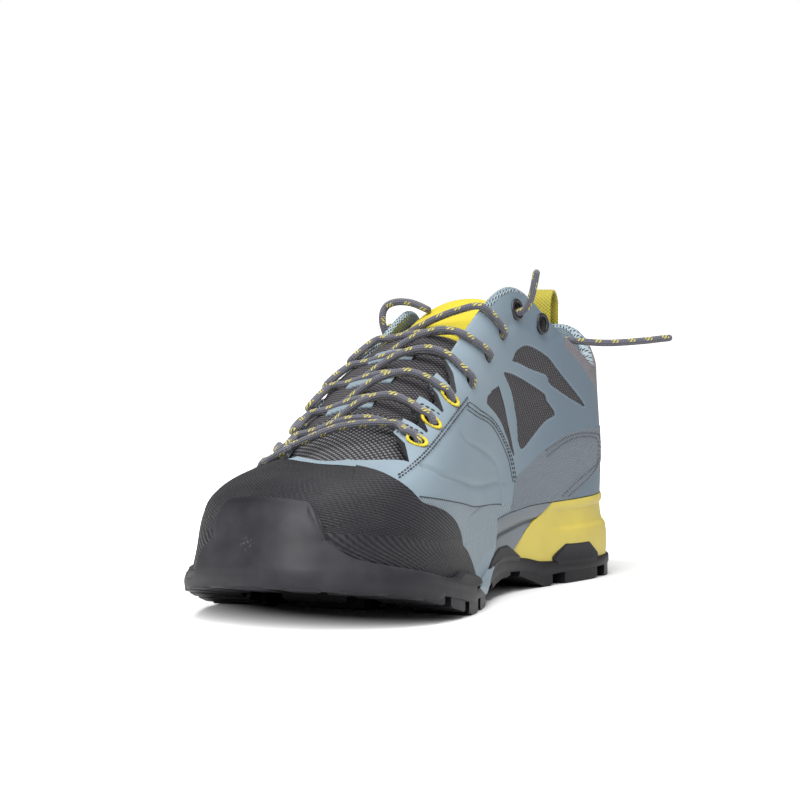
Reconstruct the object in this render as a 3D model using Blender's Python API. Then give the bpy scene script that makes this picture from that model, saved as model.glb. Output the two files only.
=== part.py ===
"""Low hiking shoe for the right foot, built as separate pieces.

Metres, +Z up, toe along +X, +Y to the wearer's left, which is the inner side of this shoe.
Tables are in millimetres, with stations measured forward from the back of the heel.
"""

import bmesh
import bpy
import numpy as np
from mathutils import Vector

MM = 0.001

# Driving sizes, in millimetres
WALL = 2.4
COLLAR_WALL = 5.5
SEAT_GAP = 0.35
PATCH_GAP = 0.6
CAP_THICKNESS = 1.3
RAND_GAP = 0.8
RAND_LEDGE = 0.4
INSOLE_THICKNESS = 4.0
INSOLE_BEVEL = 1.0
LACE_DIAMETER = 3.2
EYELET_HOLE = 5.8
AROUND_STEPS = 64
WALL_STEPS = 8
FOOT_INSET = 2.5

# Shares of the way from the spine to the edge where the sole's solids have their rings of points
RING_SHARES = (0, 0.5, 1)

# Where the row frame's origin lies in plan: the middle of the shoe's box
FRAME_ORIGIN = (149.5, 0.0, 0.0)
SPINE_ENDS = (40.0, 246.0)
SPINE_SAMPLES = 200

# Sections round the shoe, from the heel's back along the inner side to the toe and home on the outer side.
# sole_s, sole_y: edge of the outsole in plan. welt: how far it stands out past the midsole.
# swell: how far the wall bulges out low down. head_s, head_y, head_z: edge of the upper at collar or throat.
# lean: slope of the wall at that edge in degrees, 90 upright.
# rise, reach: fullness of the wall low down and high up.
SECTION_COLUMNS = "sole_s sole_y welt swell head_s head_y head_z lean rise reach".split()
SECTIONS = {
    "heel_back": (0, 0, 1.5, 3.2, 6.5, 0, 104, 82, 0.38, 0.35),
    "heel_corner_inner": (10, 25, 1.5, 3.0, 10, 15.5, 101, 82, 0.38, 0.35),
    "heel_side_inner": (34, 37, 1.5, 1.5, 29, 27.5, 87, 78, 0.40, 0.35),
    "ankle_inner": (66, 37.5, 1.5, 1.0, 52, 31, 93.5, 76, 0.40, 0.35),
    "waist_inner": (100, 34.5, 1.2, 1.0, 80, 29.5, 107, 72, 0.40, 0.38),
    "arch_inner": (133, 34.0, 1.2, 2.0, 105, 24.5, 118.5, 62, 0.42, 0.40),
    "instep_inner": (166, 40, 2.2, 2.0, 136, 20.5, 107, 48, 0.45, 0.42),
    "ball_inner": (199, 49, 4.6, 2.0, 166, 20.5, 91, 38, 0.50, 0.46),
    "vamp_inner": (231, 53.5, 4.6, 2.0, 194, 21, 77.5, 29, 0.56, 0.50),
    "toe_side_inner": (262, 51, 4.8, 2.0, 217, 20.5, 65.5, 22, 0.64, 0.54),
    "toe_corner_inner": (287, 37, 4.8, 2.0, 229, 14, 58.5, 16, 0.70, 0.56),
    "toe_tip": (299, 9, 4.8, 2.0, 234, 1, 57, 12, 0.72, 0.58),
    "toe_corner_outer": (279, -29, 4.8, 2.0, 231, -11.5, 56.5, 16, 0.70, 0.56),
    "toe_side_outer": (252, -44, 4.8, 2.0, 219, -18, 61, 22, 0.64, 0.54),
    "vamp_outer": (224, -52, 4.6, 2.0, 197, -18.5, 72, 29, 0.56, 0.50),
    "ball_outer": (196, -53.5, 4.6, 2.0, 168, -17, 85.5, 38, 0.50, 0.46),
    "instep_outer": (166, -50.5, 2.2, 2.0, 137, -17, 99.5, 48, 0.45, 0.42),
    "arch_outer": (134, -45, 1.2, 2.0, 104, -21.5, 110.5, 62, 0.42, 0.40),
    "waist_outer": (100, -41.5, 1.2, 1.0, 79, -28, 102, 72, 0.40, 0.38),
    "ankle_outer": (66, -41, 1.5, 1.0, 51, -32, 90, 76, 0.40, 0.35),
    "heel_side_outer": (34, -39, 1.5, 1.5, 29, -29, 85, 78, 0.40, 0.35),
    "heel_corner_outer": (10, -26, 1.5, 3.0, 10, -16, 100, 82, 0.38, 0.35),
}
N_SECTIONS = len(SECTIONS)

# Levels along the sole: bottom of the lugs, bottom of the plate, top of the outsole, rim of the midsole
LEVEL_COLUMNS = "station ground tread split feather".split()
LEVELS = (
    (0, 3.0, 6.0, 10.5, 36.0),
    (14, 0, 4.5, 9.0, 35.0),
    (60, 0, 4.5, 8.8, 33.5),
    (96, 0, 4.5, 10.4, 33.0),
    (110, 5, 7.0, 12.6, 32.0),
    (138, 7, 9.0, 15.0, 29.0),
    (165, 3, 6.0, 12.0, 26.0),
    (178, 0, 4.5, 9.5, 25.0),
    (206, 0, 4.5, 9.5, 25.0),
    (231, 4.2, 8.0, 12.5, 26.0),
    (255, 8.8, 12.0, 16.5, 28.5),
    (278, 12.5, 15.5, 19.5, 31.0),
    (300, 15.5, 18.0, 22.0, 33.0),
)

# Merging distance in millimetres, and the angle past which an edge shows as sharp
MERGE_DISTANCE = 0.01
SHARP_ANGLE = 0.7

# Plain finishes: colour, roughness, metallic
FINISHES = {
    "black_rubber": ((0.035, 0.035, 0.04), 0.6, 0.0),
    "charcoal_rubber": ((0.05, 0.05, 0.055), 0.7, 0.0),
    "grey_foam": ((0.2, 0.24, 0.27), 0.7, 0.0),
    "yellow_foam": ((0.78, 0.68, 0.12), 0.65, 0.0),
    "blue_upper": ((0.25, 0.33, 0.39), 0.65, 0.0),
    "lining_cloth": ((0.2, 0.25, 0.3), 0.9, 0.0),
    "yellow_cloth": ((0.8, 0.66, 0.05), 0.8, 0.0),
    "lace_cord": ((0.12, 0.12, 0.14), 0.8, 0.0),
    "dark_metal": ((0.06, 0.06, 0.07), 0.35, 0.8),
}

# Runs of lugs round the edge: first place, last place, number of lugs
LUG_RUNS = ((-3.9, 3.9, 7), (6.35, 15.65, 14))
LUG_SHARE = 0.74
LUG_STEPS = 4
LUG_INSET = 0.4
LUG_DEPTH = 0.56
LUG_ROOT = 1.0
# Bars across the middle of the tread: stations, and one bar's outline ahead of its station and across
BAR_STATIONS = (34, 56, 78, 184, 197, 214, 234)
BAR_OUTLINE = ((-1, -13), (7, -13), (3, 0), (7, 13), (-1, 13), (-5, 0))

# Edges of the toe's rubber: distance round from its middle, then height on the side
TOE_MIDDLE = 11.13
RAND_EDGE = (
    (0, 0.37), (0.6, 0.33), (0.8, 0.1), (1.03, -0.35), (1.25, -0.56), (1.7, -0.69),
    (2.35, -0.78), (2.9, -0.84), (3.2, -0.8), (3.55, -0.62), (4.0, -0.7), (4.3, -0.84),
)
RAND_TURNS = (0.6, 0.7, 0.8, 0.9, 1.03, 1.25)
CAP_EDGE = (
    (0, 0.93), (0.7, 0.93), (1.3, 0.88), (1.87, 0.74), (2.47, 0.44), (2.75, 0.31),
    (3.13, 0.24), (3.6, 0.14), (4.0, 0.0), (4.25, -0.4), (4.34, -0.75),
)
CAP_LOW = -0.93
END_CLEARANCE = 0.1
SOLE_ROWS = (-1.0, -0.93, -0.5)
ROOT = 2.0

# Tab of the outsole up each side of the heel: place and height on the side
HEEL_TAB = ((2.2, -0.93), (2.5, -0.72), (3.28, -0.71), (3.65, -0.93))
TAB_STEPS = 7
TAB_PROUD = 1.25

# Joint between midsole and heel wedge: its upper and lower end, station and height
WEDGE_JOINT = ((77.2, 35.0), (123.8, 16.1))
MIDSOLE_ROWS = (-0.65, -0.3)
CUT_LEVELS = (-20.0, 60.0)
CUT_REACH = 90.0
FAR_AHEAD = 400.0

INSOLE_INSET = FOOT_INSET + WALL + 1.2

# Padding of the collar: where it ends on the way to the throat, over what run, and how high it starts
COLLAR_END = 5.4
COLLAR_FADE = 2.0
PAD_START = 0.45

# Eyelets from the toe up: place and height on the side, and where on the throat's edge the lace runs over it
EYELETS = {
    "finger_low": (8.30, 0.75, 8.72),
    "finger_middle": (7.76, 0.78, 8.20),
    "finger_high": (7.02, 0.79, 7.55),
    "hole_low": (6.20, 0.72, 6.90),
    "hole_middle": (5.56, 0.74, 6.40),
    "hole_high": (5.14, 0.80, 5.82),
    "ring_front": (4.80, 0.91, 5.00),
    "ring_back": (4.14, 0.94, 4.14),
}
LACED = ("finger_low", "finger_middle", "finger_high", "hole_low", "hole_middle", "hole_high")
# Slots that part the lace fingers: corners as place and height on the side
THROAT_SLOTS = {
    "front": ((8.64, 0.62), (9.2, 0.79), (9.7, 0.9), (10.2, 0.97), (10.7, 1.1), (9.05, 1.1)),
    "low": ((7.93, 0.74), (7.99, 0.74), (8.58, 1.1), (8.4, 1.1)),
    "middle": ((7.31, 0.76), (7.37, 0.76), (8.0, 1.1), (7.82, 1.1)),
    "high": ((6.75, 0.77), (6.81, 0.77), (7.36, 1.1), (7.18, 1.1)),
}
RUN_ON_FROM = 0.97
CUT_DEPTH = 9.0
HOLE_SIDES = 8
RING_RADIUS = 3.6
RING_WIRE = 1.6
RING_SEGMENTS = (12, 5)

# Tongue from its foot up: station, height of its middle, half width, drop of its edges
TONGUE = (
    (238, 49.0, 22, 4),
    (215, 57.0, 24, 5),
    (190, 67.0, 24, 6),
    (160, 80.0, 23, 6),
    (135, 89.5, 21, 6),
    (118, 98.5, 19, 5),
    (107, 109.0, 18, 3),
    (100, 117.0, 15, 2),
)
TONGUE_STEPS = 13
TONGUE_COLUMNS = 7
TONGUE_THICKNESS = 5.0
TONGUE_THINNING = 0.5

# Pull loop: station and height of its middle line, and how far it spans across
PULL_LOOP_ROUTE = (
    (2.4, 82), (4.0, 96), (4.4, 106), (4.8, 114), (8.6, 118.5), (12.4, 115), (13.2, 106), (13.0, 96),
)
PULL_LOOP_STEPS = 17
PULL_LOOP_THICKNESS = 1.6
PULL_LOOP_SPAN = (-6.0, 3.0)

LACE_LIFT = 0.8
EDGE_CREST = 1.25
LACE_CLEARANCE = 3.8
LACE_DROP = 1.5
LACE_STEP_BACK = 0.17
STRAND_POINTS = 10
# Height of the two strands of a crossing over their ends: the upper one, from the inner side, and the lower
STRAND_RISES = {False: 2.0, True: 0.5}

# Routes of the loose lengths of lace, with a point every so many diameters
CORD_POINT_STEP = 2.0
CORD_LEAST_POINTS = 6
CORD_BEVEL_STEPS = 2
CORD_ROUTES = {
    "lace_end_inner": (
        (101.8, 14.5, 104.5), (102.6, 18.5, 107.6), (103.8, 26.3, 109.2),
        (104.2, 30.6, 111.4), (104.2, 33.0, 117.0), (104.0, 34.6, 125.0),
    ),
    "lace_end_outer": (
        (102.4, -28.9, 103.3), (102.1, -24.6, 101.9), (101.7, -18.9, 100.1), (96.5, -14.5, 99.6),
        (86.0, -6.5, 99.2), (72.0, 6.0, 98.4), (58.0, 19.5, 98.4), (49.0, 28.5, 97.6),
        (38.0, 39.5, 97.2), (27.0, 50.0, 97.8), (16.7, 60.0, 98.6),
    ),
    "lace_slack": (
        (109.5, -27.2, 98.5), (111.3, -27.3, 106.5), (108.5, -24.6, 113.6),
        (107.0, -17.0, 116.4), (110.0, -9.0, 115.8),
    ),
}


def column(name):
    """One column of the section table, as an array over the sections."""
    return np.array([row[SECTION_COLUMNS.index(name)] for row in SECTIONS.values()], float)


def hermite(start, end, leaving, arriving, t):
    """A cubic between two values with given slopes, at share t of the way."""
    rise = end - start
    square = 3 * rise - 2 * leaving - arriving
    cube = leaving + arriving - 2 * rise
    return start + t * (leaving + t * (square + t * cube))


def round_the_shoe(name, u):
    """A section column read at any place u round the shoe, on a smooth closed curve through its rows."""
    values = column(name)
    unit = np.eye(N_SECTIONS)
    system = 4 * unit + np.roll(unit, 1, 0) + np.roll(unit, -1, 0)
    slopes = np.linalg.solve(system, 3 * (np.roll(values, -1) - np.roll(values, 1)))
    u = np.asarray(u, float) % N_SECTIONS
    low = np.floor(u).astype(int) % N_SECTIONS
    high = (low + 1) % N_SECTIONS
    t = u - np.floor(u)
    return hermite(values[low], values[high], slopes[low], slopes[high], t)


def smooth_read(rows, place, value=1):
    """A column of a short table read at any place along its first one, never overshooting its rows."""
    table = np.array(rows, float)
    x, y = table[:, 0], table[:, value]
    step, slope = np.diff(x), np.diff(y) / np.diff(x)
    tangent = np.zeros(len(x))
    same_way = slope[:-1] * slope[1:] > 0
    mean = 2 * slope[:-1] * slope[1:] / np.where(same_way, slope[:-1] + slope[1:], 1)
    tangent[1:-1] = np.where(same_way, mean, 0)
    tangent[0], tangent[-1] = slope[0], slope[-1]
    place = np.clip(place, x[0], x[-1])
    i = np.clip(np.searchsorted(x, place, side="right") - 1, 0, len(x) - 2)
    t = (place - x[i]) / step[i]
    return hermite(y[i], y[i + 1], tangent[i] * step[i], tangent[i + 1] * step[i], t)


def level(name, station):
    """A level of the sole at a station. Flat stretches of the table stay flat."""
    return smooth_read(LEVELS, station, LEVEL_COLUMNS.index(name))


def outline(u):
    """Edge of the outsole in plan at u."""
    return np.stack([round_the_shoe("sole_s", u), round_the_shoe("sole_y", u)], -1)


def spine(u):
    """Middle line of the sole that the rings of the sole close on, kept clear of heel and toe."""
    half = np.linspace(0, N_SECTIONS / 2, SPINE_SAMPLES)
    middle = (outline(half) + outline(-half)) / 2
    station = np.clip((outline(u) + outline(-np.asarray(u)))[..., 0] / 2, *SPINE_ENDS)
    return np.stack([station, np.interp(station, middle[:, 0], middle[:, 1])], -1)


def inset(u, distance):
    """Points of the plan outline moved in towards the spine."""
    edge, centre = outline(u), spine(u)
    inward = centre - edge
    return edge + inward * (np.asarray(distance) / np.linalg.norm(inward, axis=-1))[..., None]


def with_height(plan, height):
    """Plan points with a height, as points in space."""
    return np.concatenate([plan, np.broadcast_to(height, plan.shape[:-1])[..., None]], -1)


def sole_edge(u):
    """Lower edge of the midsole's side, just inside the outsole's edge."""
    plan = inset(u, round_the_shoe("welt", u))
    return with_height(plan, level("split", plan[..., 0]))


def feather(u):
    """Line where the upper's wall starts, on the rim of the midsole."""
    plan = inset(u, round_the_shoe("welt", u) + FOOT_INSET)
    return with_height(plan, level("feather", plan[..., 0]))


def head(u):
    """Edge of the upper round the collar and throat."""
    return np.stack([round_the_shoe(name, u) for name in ("head_s", "head_y", "head_z")], -1)


def side(u, t):
    """The shoe's outer side: t is -1 at the sole edge, 0 at the feather line and 1 at collar or throat."""
    u, t = np.broadcast_arrays(np.asarray(u, float), np.asarray(t, float))
    foot, top = feather(u), head(u)
    across = (top - foot)[..., :2]
    span = np.linalg.norm(across, axis=-1)
    inward = with_height(across / span[..., None], 0.0)
    height = top[..., 2] - foot[..., 2]
    lean = np.radians(round_the_shoe("lean", u))
    up = np.array([0.0, 0.0, 1.0])
    low = foot + up * (round_the_shoe("rise", u) * height)[..., None]
    low = low - inward * round_the_shoe("swell", u)[..., None]
    chord = np.hypot(span, height)
    direction = inward * np.cos(lean)[..., None] + up * np.sin(lean)[..., None]
    high = top - direction * (round_the_shoe("reach", u) * chord)[..., None]
    w = np.clip(t, 0, 1)[..., None]
    wall = (1 - w) ** 3 * foot + 3 * w * (1 - w) ** 2 * low + 3 * w**2 * (1 - w) * high + w**3 * top
    below = np.clip(-t, 0, 1)[..., None]
    return wall + below * (sole_edge(u) - foot)


def outward(u, t):
    """Unit normal of the outer side, pointing away from the foot."""
    u, t = np.asarray(u), np.asarray(t)
    step_u, step_t = 0.02, 0.01
    along = side(u + step_u, t) - side(u - step_u, t)
    upward = side(u, np.minimum(t + step_t, 1)) - side(u, np.maximum(t - step_t, -1))
    normal = np.cross(upward, along)
    return normal / np.linalg.norm(normal, axis=-1)[..., None]


def offset_side(u, t, distance):
    """The outer side moved out by a distance."""
    return side(u, t) + outward(u, t) * np.asarray(distance)[..., None]


def beyond(u, t, distance):
    """The outer side moved out by a distance, running straight on past its edge where t is over 1."""
    run = (offset_side(u, 1.0, distance) - offset_side(u, RUN_ON_FROM, distance)) / (1 - RUN_ON_FROM)
    return offset_side(u, np.minimum(t, 1.0), distance) + run * np.maximum(np.asarray(t) - 1, 0)[..., None]


def around():
    """Places round the shoe where the solids have their columns of points."""
    return np.arange(AROUND_STEPS) * N_SECTIONS / AROUND_STEPS


def plan_ring(distance, share):
    """A ring of plan points: the outline moved in by a distance, then shrunk on to the spine by a share."""
    u = around()
    return spine(u) + share * (inset(u, distance) - spine(u))


def sole_ring(distance, share, name, lift=0.0):
    """A plan ring at a named level of the sole."""
    plan = plan_ring(distance, share)
    return with_height(plan, level(name, plan[:, 0]) + lift)


def clear_scene():
    """Removes every object of the scene that the script starts in."""
    for item in list(bpy.data.objects):
        bpy.data.objects.remove(item, do_unlink=True)


def collection(name, parent):
    """A new collection inside another."""
    made = bpy.data.collections.new(name)
    parent.children.link(made)
    return made


def finish(name):
    """A plain material with the colour, roughness and metallic value of a named finish."""
    known = bpy.data.materials.get(name)
    if known:
        return known
    colour, roughness, metallic = FINISHES[name]
    made = bpy.data.materials.new(name)
    made.use_nodes = True
    shader = made.node_tree.nodes["Principled BSDF"]
    shader.inputs["Base Color"].default_value = (*colour, 1.0)
    shader.inputs["Roughness"].default_value = roughness
    shader.inputs["Metallic"].default_value = metallic
    return made


def placed(points):
    """Shoe millimetres as metres in the row frame."""
    return (np.asarray(points, float) - FRAME_ORIGIN) * MM


def add_mesh(name, points, faces, where, finish_name=None):
    """A mesh object from points in shoe millimetres, with doubles merged and its faces pointing out."""
    mesh = bpy.data.meshes.new(name)
    mesh.from_pydata(placed(points).tolist(), [], faces)
    work = bmesh.new()
    work.from_mesh(mesh)
    bmesh.ops.remove_doubles(work, verts=work.verts, dist=MERGE_DISTANCE * MM)
    bmesh.ops.recalc_face_normals(work, faces=work.faces)
    work.to_mesh(mesh)
    work.free()
    made = bpy.data.objects.new(name, mesh)
    where.objects.link(made)
    if finish_name:
        mesh.materials.append(finish(finish_name))
        mesh.shade_smooth()
        mesh.set_sharp_from_angle(angle=SHARP_ANGLE)
    else:
        made.hide_render = True
        made.display_type = "WIRE"
    return made


def strip_faces(rows, columns, closed, start=0):
    """Faces of a grid of points, row by row, with its last column joined to the first where it is closed."""
    faces = []
    for i in range(rows - 1):
        for j in range(columns if closed else columns - 1):
            here, there = start + i * columns, start + (i + 1) * columns
            after = (j + 1) % columns
            faces.append((here + j, here + after, there + after, there + j))
    return faces


def ring_solid(name, rings, where, finish_name):
    """A solid from closed rings of points, from its underside's spine out and over to the spine on top."""
    points = np.concatenate(rings)
    return add_mesh(name, points, strip_faces(len(rings), len(rings[0]), True), where, finish_name)


def between(name, outer, inner, closed, where, finish_name=None):
    """A solid between two grids of points that lie one over the other."""
    rows, columns = outer.shape[:2]
    count = rows * columns
    points = np.concatenate([outer.reshape(-1, 3), inner.reshape(-1, 3)])
    faces = strip_faces(rows, columns, closed)
    faces += [tuple(reversed(face)) for face in strip_faces(rows, columns, closed, count)]
    grid = np.arange(count).reshape(rows, columns)
    rims = [grid[0], grid[-1]] if closed else [grid[0], grid[-1], grid[:, 0], grid[:, -1]]
    for rim in rims:
        following = np.roll(rim, -1) if closed else rim[1:]
        faces += [(a, b, b + count, a + count) for a, b in zip(rim.tolist(), following.tolist())]
    return add_mesh(name, points, faces, where, finish_name)


def prism(name, low, high, where, finish_name=None):
    """A solid between two like outlines."""
    n = len(low)
    faces = [tuple(range(n)), tuple(range(n, 2 * n))]
    faces += [(i, (i + 1) % n, n + (i + 1) % n, n + i) for i in range(n)]
    return add_mesh(name, np.concatenate([low, high]), faces, where, finish_name)


def joined(name, pieces, where):
    """Several closed helper meshes as one hidden object."""
    work = bmesh.new()
    for piece in pieces:
        work.from_mesh(piece.data)
        bpy.data.objects.remove(piece, do_unlink=True)
    mesh = bpy.data.meshes.new(name)
    work.to_mesh(mesh)
    work.free()
    made = bpy.data.objects.new(name, mesh)
    where.objects.link(made)
    made.hide_render = True
    made.display_type = "WIRE"
    return made


def boolean(piece, other, operation):
    """Cuts another solid from a piece, or joins it on."""
    cut = piece.modifiers.new(operation.title(), "BOOLEAN")
    cut.operation = operation
    cut.object = other
    cut.solver = "EXACT"


def edge_lugs(where):
    """Lugs round the edges of heel and forefoot."""
    blocks = []
    for start, end, count in LUG_RUNS:
        pitch = (end - start) / count
        for i in range(count):
            u = np.linspace(start + i * pitch, start + (i + LUG_SHARE) * pitch, LUG_STEPS)
            centre = spine(u)
            back = centre + LUG_DEPTH * (outline(u) - centre)
            blocks.append(tread_block(np.concatenate([inset(u, LUG_INSET), back[::-1]]), where))
    return blocks


def middle_lugs(where):
    """Bent bars across the middle of the tread."""
    line = spine(np.linspace(0, N_SECTIONS / 2, SPINE_SAMPLES))
    blocks = []
    for station in BAR_STATIONS:
        middle = np.interp(station, line[:, 0], line[:, 1])
        blocks.append(tread_block(np.array(BAR_OUTLINE, float) + (station, middle), where))
    return blocks


def tread_block(plan, where):
    """One lug over a plan outline, from the ground up into the plate."""
    low = with_height(plan, level("ground", plan[:, 0]))
    high = with_height(plan, level("tread", plan[:, 0]) + LUG_ROOT)
    return prism("lug", low, high, where)


def wall_rows():
    """Heights of the upper's rows of points, from the feather line to its edge."""
    return np.linspace(0, 1, WALL_STEPS + 1)


def side_patch(name, u, low, high, inner, outer, root, where, finish_name=None):
    """A piece lying over the shoe's side, between two distances from it, with a root below its lower edge.

    Its rows are those of the upper, so that both have the same facets, and end at the height given.
    """
    rows = [t for t in (*SOLE_ROWS, *wall_rows()) if low <= t < high.max()]
    t = np.minimum(np.array([*rows, high.max()])[:, None], high)
    over, under = offset_side(u, t, outer), offset_side(u, t, inner)
    if root:
        down = np.array([0, 0, -root])
        over = np.concatenate([over[:1] + down, over])
        under = np.concatenate([under[:1] + down, under])
    return between(name, over, under, False, where, finish_name)


def edge_read(rows, u):
    """Height of a patch's top edge on the side, from its distance round from the toe's middle."""
    return smooth_read(rows, np.abs(u - TOE_MIDDLE))


def toe_span(rows, turns=()):
    """Places round the toe that a patch covers: the upper's columns, its ends and where its edge turns."""
    reach = rows[-1][0]
    fixed = [TOE_MIDDLE + way * d for d in (*turns, reach) for way in (-1, 1)]
    inside = [u for u in around() if abs(u - TOE_MIDDLE) < reach]
    clear = [u for u in inside if np.abs(u - fixed).min() > END_CLEARANCE]
    return np.array(sorted([*fixed, *clear]))


def outsole(parts, cutters):
    """Rubber plate with its lugs, the rand that wraps the toe, and a tab up each side of the heel."""
    rings = [sole_ring(0, share, "tread") for share in RING_SHARES]
    welt = round_the_shoe("welt", around())
    rings += [sole_ring(0, 1, "split")] + [sole_ring(welt, share, "split") for share in RING_SHARES[::-1]]
    plate = ring_solid("outsole", rings, parts, "black_rubber")
    u = toe_span(RAND_EDGE, RAND_TURNS)
    outer = round_the_shoe("welt", u) - RAND_LEDGE
    inner = np.full_like(u, PATCH_GAP + CAP_THICKNESS + RAND_GAP)
    extra = [side_patch("rand", u, -1.0, edge_read(RAND_EDGE, u), inner, outer, ROOT, cutters)]
    for mirror in (False, True):
        place, top = np.array(HEEL_TAB, float).T
        u = np.linspace(place[0], place[-1], TAB_STEPS)
        top = np.interp(u, place, top)
        u = N_SECTIONS - u if mirror else u
        extra.append(side_patch("tab", u, -1.0, top, np.full_like(u, SEAT_GAP),
                                np.full_like(u, TAB_PROUD), ROOT, cutters))
    extra += edge_lugs(cutters) + middle_lugs(cutters)
    boolean(plate, joined("tread_and_rand", extra, cutters), "UNION")


def midsole_form(name, parts, finish_name):
    """The foam between outsole and upper, before it is split into its two densities."""
    u = around()
    welt = round_the_shoe("welt", u)
    rings = [sole_ring(welt, share, "split", SEAT_GAP) for share in RING_SHARES]
    rings += [side(u, t) for t in MIDSOLE_ROWS]
    rings.append(feather(u) - (0, 0, SEAT_GAP))
    rings += [sole_ring(welt + INSOLE_INSET, share, "feather", -SEAT_GAP) for share in RING_SHARES[::-1]]
    return ring_solid(name, rings, parts, finish_name)


def half_prism(name, ahead, where):
    """Everything ahead of, or behind, the slanted joint between the two foams."""
    (s0, z0), (s1, z1) = WEDGE_JOINT
    slope = (s1 - s0) / (z1 - z0)
    half_gap = SEAT_GAP / 2 * np.hypot(1, slope) * (1 if ahead else -1)
    far = FAR_AHEAD if ahead else -FAR_AHEAD
    corners = [(s0 + (z - z0) * slope - half_gap, z) for z in CUT_LEVELS]
    corners += [(far, CUT_LEVELS[1]), (far, CUT_LEVELS[0])]
    low, high = (np.array([(s, y, z) for s, z in corners]) for y in (-CUT_REACH, CUT_REACH))
    return prism(name, low, high, where)


def foam(parts, cutters):
    """Grey midsole and the softer yellow wedge under the heel."""
    front = midsole_form("midsole", parts, "grey_foam")
    boolean(front, half_prism("behind_joint", False, cutters), "DIFFERENCE")
    heel = midsole_form("heel_wedge", parts, "yellow_foam")
    boolean(heel, half_prism("ahead_of_joint", True, cutters), "DIFFERENCE")


def insole(parts):
    """Footbed lying inside the upper on the midsole."""
    inset_by = round_the_shoe("welt", around()) + INSOLE_INSET
    rings = [sole_ring(inset_by, share, "feather") for share in RING_SHARES]
    rings.append(sole_ring(inset_by, 1, "feather", INSOLE_THICKNESS - INSOLE_BEVEL))
    rings += [sole_ring(inset_by + INSOLE_BEVEL, share, "feather", INSOLE_THICKNESS) for share in (1, 0)]
    ring_solid("insole", rings, parts, "lining_cloth")


def wall_at(u, t):
    """Thickness of the upper: thin at sole and throat, padded round the collar."""
    from_heel = np.minimum(u, N_SECTIONS - u)
    round_collar = np.clip((COLLAR_END - from_heel) / COLLAR_FADE, 0, 1)
    high = np.clip((t - PAD_START) / (1 - PAD_START), 0, 1)
    pad = np.sin(np.pi / 2 * round_collar) * high**2 * (3 - 2 * high)
    return WALL + (COLLAR_WALL - WALL) * pad


def upper(parts, cutters):
    """The hollow upper, open at collar, throat and underneath, with its slots and lace holes."""
    u, t = np.meshgrid(around(), wall_rows())
    shell = between("upper", side(u, t), offset_side(u, t, -wall_at(u, t)), True, parts, "blue_upper")
    tools = []
    for mirror in (False, True):
        for corners in THROAT_SLOTS.values():
            place, height = np.array(corners, float).T
            place = N_SECTIONS - place if mirror else place
            low, high = (beyond(place, height, np.full_like(place, d)) for d in (-CUT_DEPTH, CUT_DEPTH))
            tools.append(prism("slot", low, high, cutters))
        for row in EYELETS.values():
            tools.append(hole_tool(*eyelet_place(row, mirror), cutters))
    boolean(shell, joined("throat_cuts", tools, cutters), "DIFFERENCE")


def eyelet_place(row, mirror):
    """Place and height on the side of an eyelet, on the inner or the outer side."""
    return (N_SECTIONS - row[0] if mirror else row[0]), row[1]


def hole_tool(u, t, where):
    """A round tool through the wall at a place on the side."""
    normal = outward(u, t)
    across = np.cross(normal, (0, 0, 1.0))
    across /= np.linalg.norm(across)
    along = np.cross(normal, across)
    angle = np.arange(HOLE_SIDES) * 2 * np.pi / HOLE_SIDES
    ring = EYELET_HOLE / 2 * (np.cos(angle)[:, None] * across + np.sin(angle)[:, None] * along)
    centre = side(u, t)
    return prism("hole", centre + ring - CUT_DEPTH * normal, centre + ring + CUT_DEPTH * normal, where)


def toe_cap(parts):
    """Ribbed rubber cap lying over the toe, above the rand."""
    u = toe_span(CAP_EDGE)
    full = np.full_like(u, 1.0)
    side_patch("toe_cap", u, CAP_LOW, edge_read(CAP_EDGE, u), PATCH_GAP * full,
               (PATCH_GAP + CAP_THICKNESS) * full, 0, parts, "charcoal_rubber")


def tongue(parts):
    """Padded tongue lying under the throat and standing up past it."""
    station = np.array([row[0] for row in TONGUE])
    run = np.linspace(0, 1, TONGUE_STEPS)
    at = np.interp(run, np.linspace(0, 1, len(TONGUE)), station)
    height, half, droop = (smooth_read(TONGUE[::-1], at, k) for k in (1, 2, 3))
    c = np.linspace(-1, 1, TONGUE_COLUMNS)[None, :]
    middle = np.stack([at[:, None] + 0 * c, half[:, None] * c, height[:, None] - droop[:, None] * c**2], -1)
    along, across = np.gradient(middle, axis=0), np.gradient(middle, axis=1)
    normal = np.cross(across, along)
    normal /= np.linalg.norm(normal, axis=-1)[..., None]
    normal *= np.sign(normal[..., 2:])
    depth = (TONGUE_THICKNESS * (1 - TONGUE_THINNING * c**2))[..., None] / 2
    between("tongue", middle + depth * normal, middle - depth * normal, False, parts, "yellow_cloth")


def pull_loop(parts):
    """Webbing loop over the back of the collar."""
    path = spline(PULL_LOOP_ROUTE, PULL_LOOP_STEPS)
    along = np.gradient(path, axis=0)
    normal = np.stack([-along[:, 1], along[:, 0]], -1) / np.linalg.norm(along, axis=1)[:, None]
    grids = []
    for way in (1, -1):
        line = path + way * PULL_LOOP_THICKNESS / 2 * normal
        grids.append(np.array([[(s, y, z) for s, z in line] for y in PULL_LOOP_SPAN]))
    between("pull_loop", *grids, False, parts, "yellow_cloth")


def spline(points, count):
    """Points spaced along a smooth curve through a route's own points."""
    points = np.asarray(points, float)
    length = np.concatenate([[0], np.cumsum(np.linalg.norm(np.diff(points, axis=0), axis=1))])
    ends = np.concatenate([2 * points[:1] - points[1:2], points, 2 * points[-1:] - points[-2:-1]])
    slope = (ends[2:] - ends[:-2]) / 2
    place = np.interp(np.linspace(0, length[-1], count), length, np.arange(len(points)))
    i = np.minimum(place.astype(int), len(points) - 2)
    t = (place - i)[:, None]
    return hermite(points[i], points[i + 1], slope[i], slope[i + 1], t)


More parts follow.
